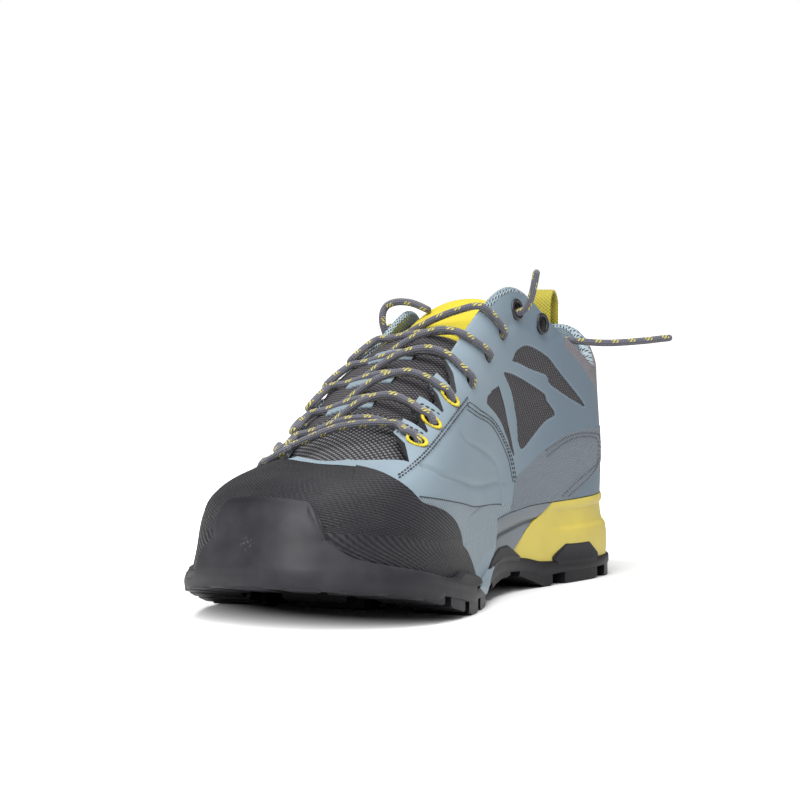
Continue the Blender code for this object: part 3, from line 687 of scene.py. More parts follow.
class Shade(Graph):
    """The node tree of one material."""

    def __init__(self, name: str) -> None:
        """Starts a new material.

        Args:
            name: Name of the material.
        """
        self.material = bpy.data.materials.new(name)
        self.material.use_nodes = True
        super().__init__(self.material.node_tree)
        self._shader = self.tree.nodes["Principled BSDF"]
        self._normal: Socket | None = None

    def math(self, operation: str, a: Feed, b: Feed = 0.0, c: Feed = 0.0) -> Socket:
        """Does one sum."""
        return self.add("ShaderNodeMath", {0: a, 1: b, 2: c}, operation=operation).outputs[0]

    def times(self, a: Feed, b: Feed) -> Socket:
        """Multiplies two values."""
        return self.math("MULTIPLY", a, b)

    def share(self, wave: Feed) -> Socket:
        """Turns a number from -1 to 1 into a share from 0 to 1."""
        return self.math("MULTIPLY_ADD", wave, 0.5, 0.5)

    def mask(self, value: Feed, low: float, high: float) -> Socket:
        """A soft step from 0 to 1."""
        feeds = {"Value": value, "From Min": low, "From Max": high}
        return self.add("ShaderNodeMapRange", feeds, interpolation_type="SMOOTHSTEP").outputs[0]

    def band(self, value: Feed, middle: float, width: float) -> Socket:
        """A soft line where a value is near one number."""
        away = self.math("ABSOLUTE", self.math("SUBTRACT", value, middle))
        return self.mask(away, 0.5 * width, 0.2 * width)

    def mix(self, share: Feed, first: Feed, second: Feed) -> Socket:
        """Mixes a share of the second colour into the first."""
        return self.add("ShaderNodeMix", {0: share, 6: first, 7: second}, data_type="RGBA").outputs[2]

    def attribute(self, name: str) -> Socket:
        """Reads a point attribute."""
        return self.add("ShaderNodeAttribute", attribute_name=name).outputs["Fac"]

    def field(self, name: str, soft: float) -> Socket:
        """A soft step from 0 to 1 where a distance stored on the points passes nought."""
        return self.mask(self.attribute(name), -soft, soft)

    def place(self) -> Socket:
        """The place in the object's own space."""
        return self.add("ShaderNodeTexCoord").outputs["Object"]

    def coordinate(self, axis: str) -> Socket:
        """One coordinate in the object's own space, in metres."""
        return self.add("ShaderNodeSeparateXYZ", {0: self.place()}).outputs[axis]

    def cloth(self) -> list[Socket]:
        """The two lengths in millimetres that weaves are drawn by."""
        lengths = self.add("ShaderNodeUVMap", uv_map=CLOTH).outputs["UV"]
        return self.add("ShaderNodeSeparateXYZ", {0: lengths}).outputs[:2]

    def noise(self, pitch: float, detail: float = 2.0) -> Socket:
        """Cloudy noise in the object's own space."""
        feeds = {"Vector": self.place(), "Scale": 1 / (pitch * MM), "Detail": detail}
        return self.add("ShaderNodeTexNoise", feeds).outputs[0]

    def wave(self, value: Feed, pitch: float) -> Socket:
        """A sine of a length."""
        return self.math("SINE", self.times(value, 2 * math.pi / pitch))

    def weave(self, x: Feed, y: Feed, pitch: Place) -> Socket:
        """A plain weave of two sets of threads."""
        return self.share(self.times(self.wave(x, pitch[0]), self.wave(y, pitch[1])))

    def relief(self, height: Feed, depth: float) -> None:
        """Adds a bump over those already there.

        Args:
            height: Share of the depth.
            depth: Depth in millimetres.
        """
        feeds: Feeds = {"Height": height, "Distance": depth * MM}
        if self._normal is not None:
            feeds["Normal"] = self._normal
        self._normal = self.add("ShaderNodeBump", feeds).outputs[0]

    def close(self, colour: Feed, roughness: Feed, **more: Feed) -> Material:
        """Feeds the shader and ends the material.

        Args:
            colour: Base colour.
            roughness: Roughness.
            more: Further inputs of the shader, with _ for a space.

        Returns:
            The finished material.
        """
        feeds: Feeds = {"Base Color": colour, "Roughness": roughness}
        feeds |= {name.replace("_", " "): value for name, value in more.items()}
        if self._normal is not None:
            feeds["Normal"] = self._normal
        for name, value in feeds.items():
            self.feed(self._shader.inputs[name], value)
        return self.material


class Tone(Enum):
    """The shoe's colours, as linear red, green and blue, some of them with painted shade."""

    BLUE = (0.142, 0.186, 0.218)
    BLUE_PALE = (0.185, 0.225, 0.255)
    # The blue darkened by painted shade, for the rear of the upper
    BLUE_SHADED = (0.086, 0.12, 0.152)
    COUNTER = (0.116, 0.136, 0.158)
    KNIT = (0.17, 0.155, 0.17)
    MESH = (0.014, 0.013, 0.015)
    MESH_THREAD = (0.085, 0.08, 0.086)
    BLACK = (0.0124, 0.0117, 0.0154)
    CHARCOAL = (0.0132, 0.0126, 0.0162)
    GREY = (0.118, 0.134, 0.148)
    YELLOW_FOAM = (0.43, 0.35, 0.062)
    YELLOW_CLOTH = (0.4, 0.33, 0.022)
    # Painted shade: the webbing's yellow darkened for the pull loop, which lies in shadow
    YELLOW_LOOP_SHADED = (0.27, 0.23, 0.014)
    YELLOW_THREAD = (0.46, 0.36, 0.012)
    LACE = (0.052, 0.052, 0.066)
    FLECK = (0.36, 0.31, 0.045)
    THREAD = (0.022, 0.022, 0.028)
    LINING = (0.20, 0.255, 0.285)
    METAL = (0.03, 0.03, 0.034)
    FLOOR = (0.85, 0.85, 0.85)
    FLOOR_SEEN = (0.62, 0.62, 0.62)

    def at(self, share: float) -> Colour:
        """The colour made darker, or paler with a share over 1."""
        return tuple(share * part for part in self.value)


@dataclass(frozen=True)
class Finish(ABC):
    """A procedural material.

    Attributes:
        name: Name of the material.
        slot: Name of the material slot it belongs to, empty for the stage; not used in this script.
    """

    name: str
    slot: str

    def material(self) -> Material:
        """The material, made on first use."""
        return bpy.data.materials.get(self.name) or self.make(Shade(self.name))

    @abstractmethod
    def make(self, shade: Shade) -> Material:
        """Builds the node tree.

        Args:
            shade: The new material's tree.

        Returns:
            The finished material.
        """


@dataclass(frozen=True)
class Rubber(Finish):
    """Moulded rubber with a faint skin, paler rubbed patches, and painted shade towards the ground and, where
    not ribbed, towards the rand's top.

    Attributes:
        tone: Its colour.
        roughness: Its roughness.
        ribbed: Whether it has the toe cap's fine slanting ribs.
    """

    tone: Tone = Tone.BLACK
    roughness: float = 0.5
    ribbed: bool = False
    RIB_PITCH, RIB_SLANT = 1.5, -0.42
    CROSS_PITCH, CROSS_SLANT = 2.1, 0.3
    # Heights in metres between which painted shade darkens it: down towards the ground, and up towards the
    # top of the rand
    DARK_BELOW, DARK_ABOVE = (0.022, 0.006), (0.04, 0.053)
    WORN = (0.2, 0.2, 0.21)

    def make(self, shade: Shade) -> Material:
        """Builds the node tree.

        Args:
            shade: The new material's tree.

        Returns:
            The finished material.
        """
        cloud = shade.mask(shade.noise(14.0, 4.0), 0.35, 0.7)
        dust = tuple(0.75 * c + 0.012 for c in self.tone.value)
        colour = shade.mix(cloud, self.tone.value, dust)
        height = shade.coordinate("Z")
        # Painted shade: darker towards the ground and, where it is not ribbed, towards the rand's top; the
        # same masks lower its specular level
        low = shade.mask(height, *self.DARK_BELOW)
        colour = shade.mix(low, colour, self.tone.at(0.45))
        if not self.ribbed:
            high = shade.mask(height, *self.DARK_ABOVE)
            colour = shade.mix(high, colour, self.tone.at(0.35))
            low = shade.math("MAXIMUM", low, high)
        else:
            x, y = shade.cloth()
            ribs = shade.wave(shade.math("MULTIPLY_ADD", x, self.RIB_SLANT, y), self.RIB_PITCH)
            cross = shade.wave(shade.math("SUBTRACT", x, shade.times(y, self.CROSS_SLANT)), self.CROSS_PITCH)
            colour = shade.mix(shade.mask(ribs, -0.9, 0.8), self.tone.at(0.45), colour)
            shade.relief(shade.share(ribs), 0.35)
            shade.relief(cross, 0.05)
        worn = shade.times(shade.attribute("scuff"), shade.mask(shade.noise(1.1, 3.0), 0.5, 0.62))
        colour = shade.mix(shade.times(worn, 0.2), colour, self.WORN)
        shade.relief(shade.noise(0.9, 3.0), 0.02)
        shade.relief(shade.noise(9.0, 2.0), 0.12)
        shine = shade.math("MULTIPLY_ADD", low, -0.14, 0.24)
        return shade.close(colour, self.roughness, Specular_IOR_Level=shine)


@dataclass(frozen=True)
class Foam(Finish):
    """Moulded foam, with a second colour where the attribute front is over nought, and painted shade in its
    groove.

    Attributes:
        tone: Its colour.
        front: Its colour at the forefoot.
    """

    tone: Tone = Tone.GREY
    front: Tone = Tone.GREY
    DUST = (0.05, 0.05, 0.05)

    def make(self, shade: Shade) -> Material:
        """Builds the node tree.

        Args:
            shade: The new material's tree.

        Returns:
            The finished material.
        """
        colour: Feed = self.tone.value
        if self.front is not self.tone:
            colour = shade.mix(shade.field("front", 0.4), colour, self.front.value)
        # Painted shade in the groove along the grey foam's side
        groove = shade.mask(shade.attribute("groove"), 1.1, 0.1)
        colour = shade.mix(shade.times(groove, 0.8), colour, self.tone.at(0.4))
        cloud = shade.mask(shade.noise(22.0, 3.0), 0.3, 0.75)
        colour = shade.mix(shade.times(cloud, 0.12), colour, self.DUST)
        shade.relief(shade.noise(0.7, 2.0), 0.03)
        return shade.close(colour, 0.55, Specular_IOR_Level=0.4)


@dataclass(frozen=True)
class Cloth(Finish):
    """A weave or knit of one thread over darker holes.

    Attributes:
        thread: Colour of the threads.
        hole: Colour between them.
        pitch: Wave length of the weave along and across, in millimetres.
        depth: Depth of its relief in millimetres.
    """

    thread: Tone = Tone.LINING
    hole: Tone = Tone.MESH
    pitch: Place = (2.0, 2.0)
    depth: float = 0.25

    def make(self, shade: Shade) -> Material:
        """Builds the node tree.

        Args:
            shade: The new material's tree.

        Returns:
            The finished material.
        """
        weave = shade.weave(*shade.cloth(), self.pitch)
        colour = shade.mix(shade.mask(weave, 0.1, 0.5), self.hole.value, self.thread.value)
        shade.relief(weave, self.depth)
        shade.relief(shade.noise(0.5, 2.0), 0.03)
        return shade.close(colour, 0.85, Specular_IOR_Level=0.2, Sheen_Weight=0.15)


@dataclass(frozen=True)
class UpperSkin(Finish):
    """Coated synthetic with mesh windows, ripstop and ribbed panels, by the point attributes of the upper,
    with painted shade towards the heel.
    """

    WINDOW_PITCH = (1.7, 2.3)
    RIPSTOP_PITCH = (2.3, 2.3)
    KNIT_PITCH = (1.9, 2.6)
    LINING_PITCH = (2.6, 3.4)
    RIB_PITCH, RIB_SLANT = 1.1, 0.35
    # Stations in metres between which painted shade darkens the blue towards the heel, which faces away from
    # the lamps
    SHADED_TOWARDS_HEEL = (0.0, -0.085)

    def make(self, shade: Shade) -> Material:
        """Builds the node tree.

        Args:
            shade: The new material's tree.

        Returns:
            The finished material.
        """
        x, y = shade.cloth()
        window = shade.field("window", 0.25)
        counter = shade.field("counter", 0.3)
        ripstop = shade.field("ripstop", 0.3)
        knit = shade.field("knit", 0.5)
        cloud = shade.mask(shade.noise(26.0, 3.0), 0.3, 0.75)
        colour = shade.mix(shade.times(cloud, 0.35), Tone.BLUE.value, Tone.BLUE_PALE.value)
        # Painted shade: the blue darkens towards the heel
        colour = shade.mix(shade.mask(shade.coordinate("X"), *self.SHADED_TOWARDS_HEEL), colour, Tone.BLUE_SHADED.value)
        checks = shade.weave(x, y, self.RIPSTOP_PITCH)
        checked = shade.mix(shade.mask(checks, 0.2, 0.7), Tone.BLUE.at(0.72), Tone.BLUE_PALE.value)
        colour = shade.mix(ripstop, colour, checked)
        ribs = shade.wave(shade.math("MULTIPLY_ADD", x, self.RIB_SLANT, y), self.RIB_PITCH)
        ribbed = shade.mix(shade.mask(ribs, -0.8, 0.9), Tone.COUNTER.at(0.8), Tone.COUNTER.value)
        colour = shade.mix(counter, colour, ribbed)
        stitches = shade.weave(x, y, self.KNIT_PITCH)
        knitted = shade.mix(shade.mask(stitches, 0.25, 0.6), Tone.KNIT.at(0.45), Tone.KNIT.value)
        colour = shade.mix(knit, colour, knitted)
        loops = shade.weave(x, y, self.LINING_PITCH)
        lined = shade.mix(shade.mask(loops, 0.2, 0.42), Tone.MESH.value, Tone.LINING.value)
        lining = shade.field("lining", 0.4)
        colour = shade.mix(lining, colour, lined)
        mesh = shade.weave(x, y, self.WINDOW_PITCH)
        meshed = shade.mix(shade.mask(mesh, 0.5, 0.85), Tone.MESH.value, Tone.MESH_THREAD.value)
        colour = shade.mix(window, colour, meshed)
        rim = shade.band(shade.attribute("window"), -0.5, 0.9)
        colour = shade.mix(shade.times(rim, 0.25), colour, Tone.BLUE_PALE.value)
        reliefs = (
            (window, mesh, 0.5), (counter, ribs, 0.1), (ripstop, checks, 0.12), (knit, stitches, 0.3),
            (lining, loops, 0.35),
        )
        for where, height, depth in reliefs:
            shade.relief(shade.times(where, height), depth)
        shade.relief(shade.noise(0.8, 3.0), 0.05)
        shade.relief(shade.noise(7.0, 2.0), 0.10)
        rough = shade.math("MULTIPLY_ADD", window, 0.25, 0.58)
        return shade.close(colour, rough, Specular_IOR_Level=0.35)


@dataclass(frozen=True)
class TongueCloth(Finish):
    """Yellow cloth at the tongue's top over dark mesh, with a coarser pale mesh at its foot."""

    FINE_PITCH = (1.7, 2.3)
    COARSE_PITCH = (2.4, 1.9)
    FOOT_HOLE, FOOT_THREAD = (0.012, 0.012, 0.014), (0.12, 0.12, 0.124)
    # Distance of the binding from the yellow cloth's lower edge, and its width, in millimetres
    BINDING = (3.2, 0.8)

    def make(self, shade: Shade) -> Material:
        """Builds the node tree.

        Args:
            shade: The new material's tree.

        Returns:
            The finished material.
        """
        x, y = shade.cloth()
        fine = shade.weave(x, y, self.FINE_PITCH)
        colour = shade.mix(shade.mask(fine, 0.45, 0.8), Tone.MESH.value, Tone.MESH_THREAD.value)
        coarse = shade.weave(x, y, self.COARSE_PITCH)
        pale = shade.mix(shade.mask(coarse, 0.5, 0.75), self.FOOT_HOLE, self.FOOT_THREAD)
        foot = shade.field("foot", 0.6)
        colour = shade.mix(foot, colour, pale)
        top = shade.field("top", 0.3)
        binding = shade.band(shade.attribute("top"), *self.BINDING)
        yellow = shade.mix(binding, Tone.YELLOW_CLOTH.value, Tone.YELLOW_CLOTH.at(0.5))
        colour = shade.mix(top, colour, yellow)
        shade.relief(shade.times(coarse, foot), 0.4)
        shade.relief(shade.times(fine, shade.math("SUBTRACT", 1.0, top)), 0.15)
        shade.relief(shade.noise(0.6, 2.0), 0.04)
        return shade.close(colour, 0.8, Specular_IOR_Level=0.25)


@dataclass(frozen=True)
class BraidedCord(Finish):
    """Round braid with flecks of a second thread that winds round it both ways."""

    PICK = 0.8
    STRANDS = 5
    FLECK_EVERY = 7.8
    FLECK_LENGTH = 3.2
    FLECK_ROWS = 2

    def make(self, shade: Shade) -> Material:
        """Builds the node tree.

        Args:
            shade: The new material's tree.

        Returns:
            The finished material.
        """
        x, turn = shade.cloth()
        row = shade.times(turn, float(self.FLECK_ROWS))
        inside = shade.math("ABSOLUTE", shade.math("SUBTRACT", shade.math("FRACT", row), 0.5))
        step = shade.times(shade.math("FLOOR", row), 0.5 * self.FLECK_EVERY)
        run = shade.math("MODULO", shade.math("ADD", x, step), self.FLECK_EVERY)
        long = shade.math("ABSOLUTE", shade.math("SUBTRACT", run, 0.5 * self.FLECK_EVERY))
        ends = shade.mask(long, 0.52 * self.FLECK_LENGTH, 0.45 * self.FLECK_LENGTH)
        patch = shade.times(shade.mask(inside, 0.36, 0.3), ends)
        along = shade.times(x, 2 * math.pi / (2 * self.PICK))
        round_it = shade.times(turn, 2 * math.pi * self.STRANDS)
        one = shade.math("SINE", shade.math("ADD", along, round_it))
        other = shade.math("SINE", shade.math("SUBTRACT", along, round_it))
        braid = shade.share(shade.times(one, other))
        colour = shade.mix(braid, Tone.LACE.at(0.55), Tone.LACE.at(1.7))
        flecks = shade.times(patch, shade.mask(one, -0.25, 0.2))
        colour = shade.mix(shade.times(flecks, 0.9), colour, Tone.FLECK.value)
        shade.relief(braid, 0.22)
        return shade.close(colour, 0.7, Specular_IOR_Level=0.3, Sheen_Weight=0.2)


@dataclass(frozen=True)
class Plain(Finish):
    """One colour with a little grain: thread, metal, webbing, and cut edges darkened with painted shade.

    Attributes:
        tone: Its colour.
        roughness: Its roughness.
        metallic: Its metallic value.
        rib: Pitch of the ribs of a woven band, 0 for none.
    """

    tone: Tone = Tone.THREAD
    roughness: float = 0.8
    metallic: float = 0.0
    rib: float = 0.0

    def make(self, shade: Shade) -> Material:
        """Builds the node tree.

        Args:
            shade: The new material's tree.

        Returns:
            The finished material.
        """
        colour: Feed = self.tone.value
        if self.rib:
            weave = shade.weave(*shade.cloth(), (self.rib, 1.3 * self.rib))
            colour = shade.mix(shade.mask(weave, 0.1, 0.6), self.tone.at(0.7), colour)
            shade.relief(weave, 0.18)
        shade.relief(shade.noise(0.6, 2.0), 0.02)
        return shade.close(colour, self.roughness, Metallic=self.metallic)


@dataclass(frozen=True)
class StudioFloor(Finish):
    """White floor that shines by itself away from the shoe, as a lit backdrop does."""

    # Distances in metres between which it starts to shine, in a space squeezed along the shoe and shifted
    NEAR, FAR = 0.095, 0.16
    SQUEEZE, SHIFT = (0.75, 1.0, 1.0), (0.036, -0.018, 0.0)

    def make(self, shade: Shade) -> Material:
        """Builds the node tree.

        Args:
            shade: The new material's tree.

        Returns:
            The finished material.
        """
        feeds = {"Vector": shade.place(), "Scale": self.SQUEEZE, "Location": self.SHIFT}
        drawn = shade.add("ShaderNodeMapping", feeds).outputs[0]
        away = shade.add("ShaderNodeVectorMath", {0: drawn}, operation="LENGTH").outputs["Value"]
        seen = shade.add("ShaderNodeLightPath").outputs["Is Camera Ray"]
        glow = shade.times(shade.mask(away, self.NEAR, self.FAR), seen)
        colour = shade.mix(seen, Tone.FLOOR.value, Tone.FLOOR_SEEN.value)
        return shade.close(colour, 0.9, Emission_Color=(1.0, 1.0, 1.0), Emission_Strength=glow)


class Palette:
    """The finishes of the shoe's pieces."""

    UPPER = UpperSkin("upper_skin", "blue_upper")
    LINING = Cloth("lining_mesh", "blue_upper", Tone.LINING, Tone.MESH, (2.6, 3.4), 0.35)
    # Near-black cut faces of the slots and lace holes: painted shade, so that they read as dark gaps
    CUT_EDGE = Plain("upper_edge", "blue_upper", Tone.METAL, 0.7)
    OUTSOLE = Rubber("outsole_rubber", "black_rubber", Tone.BLACK, 0.5)
    CAP = Rubber("cap_rubber", "charcoal_rubber", Tone.CHARCOAL, 0.55, True)
    MIDSOLE = Foam("midsole_foam", "grey_foam", Tone.GREY, Tone.BLUE)
    WEDGE = Foam("wedge_foam", "yellow_foam", Tone.YELLOW_FOAM, Tone.YELLOW_FOAM)
    INSOLE = Cloth("insole_cloth", "lining_cloth", Tone.LINING, Tone.GREY, (1.6, 1.6), 0.1)
    TONGUE = TongueCloth("tongue_skin", "tongue_cloth")
    # The loop's yellow carries painted shade
    LOOP = Plain("loop_webbing", "yellow_webbing", Tone.YELLOW_LOOP_SHADED, 0.75, 0.0, 1.4)
    BAR = Plain("bar_webbing", "tongue_cloth", Tone.BLUE, 0.75, 0.0, 1.4)
    LACE = BraidedCord("lace_braid", "lace_cord")
    RING = Plain("ring_metal", "dark_metal", Tone.METAL, 0.35, 0.7)
    DARK_THREAD = Plain("dark_thread", "blue_upper", Tone.THREAD, 0.8)
    GREY_THREAD = Plain("grey_thread", "blue_upper", Tone.LACE, 0.8)
    YELLOW_THREAD = Plain("yellow_thread", "yellow_webbing", Tone.YELLOW_THREAD, 0.6)
    FLOOR = StudioFloor("studio_floor", "")


def dress(piece: Object, finishes: tuple[Finish, ...], nodes: tuple[str, ...] = ()) -> None:
    """Gives a finished piece its materials and its place in the frame.

    Args:
        piece: The piece.
        finishes: Its finishes, in the order of its material slots.
        nodes: CAD nodes that it stands for.
    """
    slots = piece.data.materials
    while len(slots) < len(finishes):
        slots.append(None)
    for i, finish in enumerate(finishes):
        slots[i] = finish.material()
    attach(piece, "root")
    if nodes:
        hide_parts(*nodes)


def cloth_map(mesh: Mesh, pairs: Array) -> None:
    """Stores the lengths that weaves are drawn by."""
    layer = mesh.uv_layers.get(CLOTH) or mesh.uv_layers.new(name=CLOTH)
    layer.data.foreach_set("uv", np.asarray(pairs, np.float32).ravel())


def woven(name: str, builder: MeshBuilder) -> Object:
    """Builds a piece whose weave is drawn by the lengths stored at its corners.

    Args:
        name: Name of the piece.
        builder: What was gathered for it.

    Returns:
        The piece.
    """
    piece = builder.build(name)
    cloth_map(piece.data, corner_places(piece.data)[0])
    return piece


def corner_places(mesh: Mesh) -> tuple[Array, Array]:
    """Reads the place stored at each corner of a mesh's faces.

    Args:
        mesh: The mesh.

    Returns:
        The pairs, and the point that each corner lies on.
    """
    pairs = np.empty(2 * len(mesh.loops), np.float32)
    mesh.uv_layers[MeshBuilder.UV_NAME].data.foreach_get("uv", pairs)
    index = np.empty(len(mesh.loops), np.int32)
    mesh.loops.foreach_get("vertex_index", index)
    return pairs.reshape(-1, 2).astype(float), index


class NodesTree(ABC):
    """A Geometry Nodes tree with named inputs that is baked into plain meshes.

    Attributes:
        NAME: Name of the node group.
        FLOATS: Its number inputs.
    """

    NAME = ""
    FLOATS: tuple[str, ...] = ()

    def __init__(self) -> None:
        """Builds the node group: its inputs, its own shape and the nodes that every tree ends in."""
        self.tree = bpy.data.node_groups.new(self.NAME, "GeometryNodeTree")
        self.tree.is_modifier = True
        sockets = [("Geometry", "Geometry"), *((name, "Float") for name in self.FLOATS)]
        for name, kind in [*sockets, ("Seed", "Int"), ("Material", "Material")]:
            self.tree.interface.new_socket(name, in_out="INPUT", socket_type=f"NodeSocket{kind}")
        self.tree.interface.new_socket("Geometry", in_out="OUTPUT", socket_type="NodeSocketGeometry")
        graph = Graph(self.tree)
        given = graph.add("NodeGroupInput").outputs
        made = self.shape(graph, given)
        real = graph.add("GeometryNodeRealizeInstances", {0: made}).outputs[0]
        smooth = graph.add("GeometryNodeSetShadeSmooth", {0: real}).outputs[0]
        painted = graph.add("GeometryNodeSetMaterial", {0: smooth, "Material": given["Material"]}).outputs[0]
        graph.add("NodeGroupOutput", {0: painted})

    @abstractmethod
    def shape(self, graph: Graph, given: Outputs) -> Socket:
        """Adds the nodes between the inputs and the realized instances.

        Args:
            graph: The tree to add to.
            given: The group's inputs.

        Returns:
            The geometry to realize.
        """

    def even(self, graph: Graph, given: Outputs) -> Socket:
        """Turns the given paths into curves with a point at every pitch.

        Args:
            graph: The tree to add to.
            given: The group's inputs.

        Returns:
            The curves.
        """
        curve = graph.add("GeometryNodeMeshToCurve", {0: given["Geometry"]}).outputs[0]
        feeds = {"Curve": curve, "Length": given["Pitch"]}
        return graph.add("GeometryNodeResampleCurve", feeds, mode="LENGTH").outputs[0]

    def bake(
        self,
        name: str,
        lines: list[Array],
        ups: list[Array],
        sizes: dict[str, float],
        seed: int,
        finish: Finish,
    ) -> Object:
        """Runs the tree on lines of points and dresses the result as a plain mesh.

        Args:
            name: Name of the piece.
            lines: Lines of points in shoe millimetres.
            ups: A direction away from the surface for each point.
            sizes: The number inputs, lengths in millimetres and Turn in radians.
            seed: Fixed seed of its unevenness.
            finish: Its material.

        Returns:
            The piece.
        """
        starts = np.cumsum([0] + [len(line) for line in lines])
        spans = zip(starts, starts[1:])
        edges = np.concatenate([np.stack([np.arange(a, b - 1), np.arange(a + 1, b)], -1) for a, b in spans])
        mesh = bpy.data.meshes.new(name)
        mesh.from_pydata(in_frame(np.concatenate(lines)), edges, [])
        point_attribute(mesh, "up", np.concatenate(ups))
        piece = new_object(name, mesh)
        modifier = piece.modifiers.new(self.NAME, "NODES")
        modifier.node_group = self.tree
        inputs = {s.name: s.identifier for s in self.tree.interface.items_tree if s.in_out == "INPUT"}
        for key, value in sizes.items():
            modifier[inputs[key]] = value if key == "Turn" else value * MM
        modifier[inputs["Seed"]] = seed
        modifier[inputs["Material"]] = finish.material()
        dress(baked(piece), (finish,))
        return piece


class BeadTree(NodesTree):
    """Beads along paths: stitches, and the thread turns round an eyelet."""

    NAME = "beads_along_paths"
    FLOATS = ("Pitch", "Length", "Width", "Height", "Turn")
    LEAST, MOST = 0.85, 1.15

    def facing(self, graph: Graph, given: Outputs) -> Socket:
        """Turns a bead's Z to the stored direction "up" and its X along the path, then by the given turn.

        Args:
            graph: The tree to add to.
            given: The group's inputs.

        Returns:
            The rotation.
        """
        align = "FunctionNodeAlignRotationToVector"
        up = graph.add("GeometryNodeInputNamedAttribute", {"Name": "up"}, data_type="FLOAT_VECTOR").outputs[0]
        upright = graph.add(align, {"Vector": up}, axis="Z").outputs[0]
        feeds = {"Rotation": upright, "Vector": graph.add("GeometryNodeInputTangent").outputs[0]}
        facing = graph.add(align, feeds, axis="X", pivot_axis="Z").outputs[0]
        feeds = {"Axis": (0, 0, 1), "Angle": given["Turn"]}
        turn = graph.add("FunctionNodeAxisAngleToRotation", feeds).outputs[0]
        feeds = {"Rotation": facing, "Rotate By": turn}
        return graph.add("FunctionNodeRotateRotation", feeds, rotation_space="LOCAL").outputs[0]

    def shape(self, graph: Graph, given: Outputs) -> Socket:
        """Sets a bead of the given size at every pitch along each path, each scaled a little unevenly.

        Args:
            graph: The tree to add to.
            given: The group's inputs.

        Returns:
            The beads.
        """
        even = self.even(graph, given)
        ball = graph.add("GeometryNodeMeshUVSphere", {"Segments": 8, "Rings": 5, "Radius": 0.5}).outputs[0]
        size = graph.add("ShaderNodeCombineXYZ", {0: given["Length"], 1: given["Width"], 2: given["Height"]})
        bead = graph.add("GeometryNodeTransform", {"Geometry": ball, "Scale": size.outputs[0]}).outputs[0]
        feeds = {2: self.LEAST, 3: self.MOST, "Seed": given["Seed"]}
        scale = graph.add("FunctionNodeRandomValue", feeds, data_type="FLOAT").outputs[1]
        feeds = {"Points": even, "Instance": bead, "Rotation": self.facing(graph, given), "Scale": scale}
        return graph.add("GeometryNodeInstanceOnPoints", feeds).outputs[0]


class PipingTree(NodesTree):
    """A round cord swept along paths: piping and raised ribs."""

    NAME = "piping_along_paths"
    FLOATS = ("Pitch", "Width")

    def shape(self, graph: Graph, given: Outputs) -> Socket:
        """Sweeps a circle along each path.

        Args:
            graph: The tree to add to.
            given: The group's inputs.

        Returns:
            The swept cords.
        """
        half = graph.add("ShaderNodeMath", {0: given["Width"], 1: 0.5}, operation="MULTIPLY").outputs[0]
        ring = graph.add("GeometryNodeCurvePrimitiveCircle", {"Resolution": 8, "Radius": half}).outputs[0]
        feeds = {"Curve": self.even(graph, given), "Profile Curve": ring, "Fill Caps": True}
        return graph.add("GeometryNodeCurveToMesh", feeds).outputs[0]


BEADS = BeadTree()
PIPING = PipingTree()


def laid(paths: tuple[SidePath, ...], lift: float) -> tuple[list[Array], list[Array]]:
    """Lays paths on both halves of the shoe."""
    traces = [path.trace(half) for path in paths for half in Half]
    return [FORM.off(*trace.T, lift) for trace in traces], [FORM.outward(*trace.T) for trace in traces]


@dataclass(frozen=True)
class Stitching:
    """A row of stitches.

    Attributes:
        pitch: Distance from stitch to stitch in millimetres.
        length: Length of a stitch.
        width: Thickness of the thread.
        lift: Distance of the thread's middle from the side.
    """

    pitch: float = 2.3
    length: float = 1.7
    width: float = 0.7
    lift: float = 0.12
    SEED = 7

    def sew(self, name: str, paths: tuple[SidePath, ...], finish: Finish, rise: float = 0.0) -> Object:
        """Sews along paths on both halves of the shoe.

        Args:
            name: Name of the piece.
            paths: Where to sew.
            finish: The thread's material.
            rise: Thickness of the panel that is sewn down.

        Returns:
            The stitches as one piece.
        """
        thread = {"Width": self.width, "Height": self.width, "Turn": 0.0}
        sizes = {"Pitch": self.pitch, "Length": self.length, **thread}
        return BEADS.bake(name, *laid(paths, self.lift + rise), sizes, self.SEED, finish)


class Piece(ABC):
    """A sub-assembly of the shoe."""

    @abstractmethod
    def build(self) -> list[Object]:
        """Makes its pieces, dresses them and sets them in the frame.

        Returns:
            The pieces.
        """


class Girth:
    """Lengths round the shoe and up its side, that weaves are drawn by."""

    COLUMNS, ROWS = 881, 25

    def __init__(self, t: float) -> None:
        """Measures the side at many places round the shoe.

        Args:
            t: Height on the side of the ring that lengths round the shoe follow.
        """
        self._u = np.linspace(0, SECTION_COUNT, self.COLUMNS)
        ring = FORM.side(self._u, t)
        self._x = running(ring)
        rows = FORM.side(self._u[:, None], np.linspace(0, 1, self.ROWS)[None, :])
        self._height = np.linalg.norm(np.diff(rows, axis=1), axis=2).sum(1)
        self._depth = np.linalg.norm(FORM.feather(self._u) - FORM.sole_edge(self._u), axis=1)

    def lengths(self, u: Array, t: Array) -> Array:
        """Turns places on the side into lengths."""
        height, depth = np.interp(u, self._u, self._height), np.interp(u, self._u, self._depth)
        return np.stack([np.interp(u, self._u, self._x), t * np.where(t > 0, height, depth)], -1)


# Measured round the shoe at this height on its side
GIRTH = Girth(0.35)


def eased(rows: Array, passes: int, free: Array | bool = True) -> Array:
    """Evens out folds across rows of points.

    Args:
        rows: Rows of points, of which the first and the last stay.
        passes: How often to even them out.
        free: Which of the other points may move.

    Returns:
        The evened rows.
    """
    rows = rows.copy()
    for _ in range(passes):
        rows[1:-1] = np.where(free, rows[:-2] / 4 + rows[1:-1] / 2 + rows[2:] / 4, rows[1:-1])
    return rows


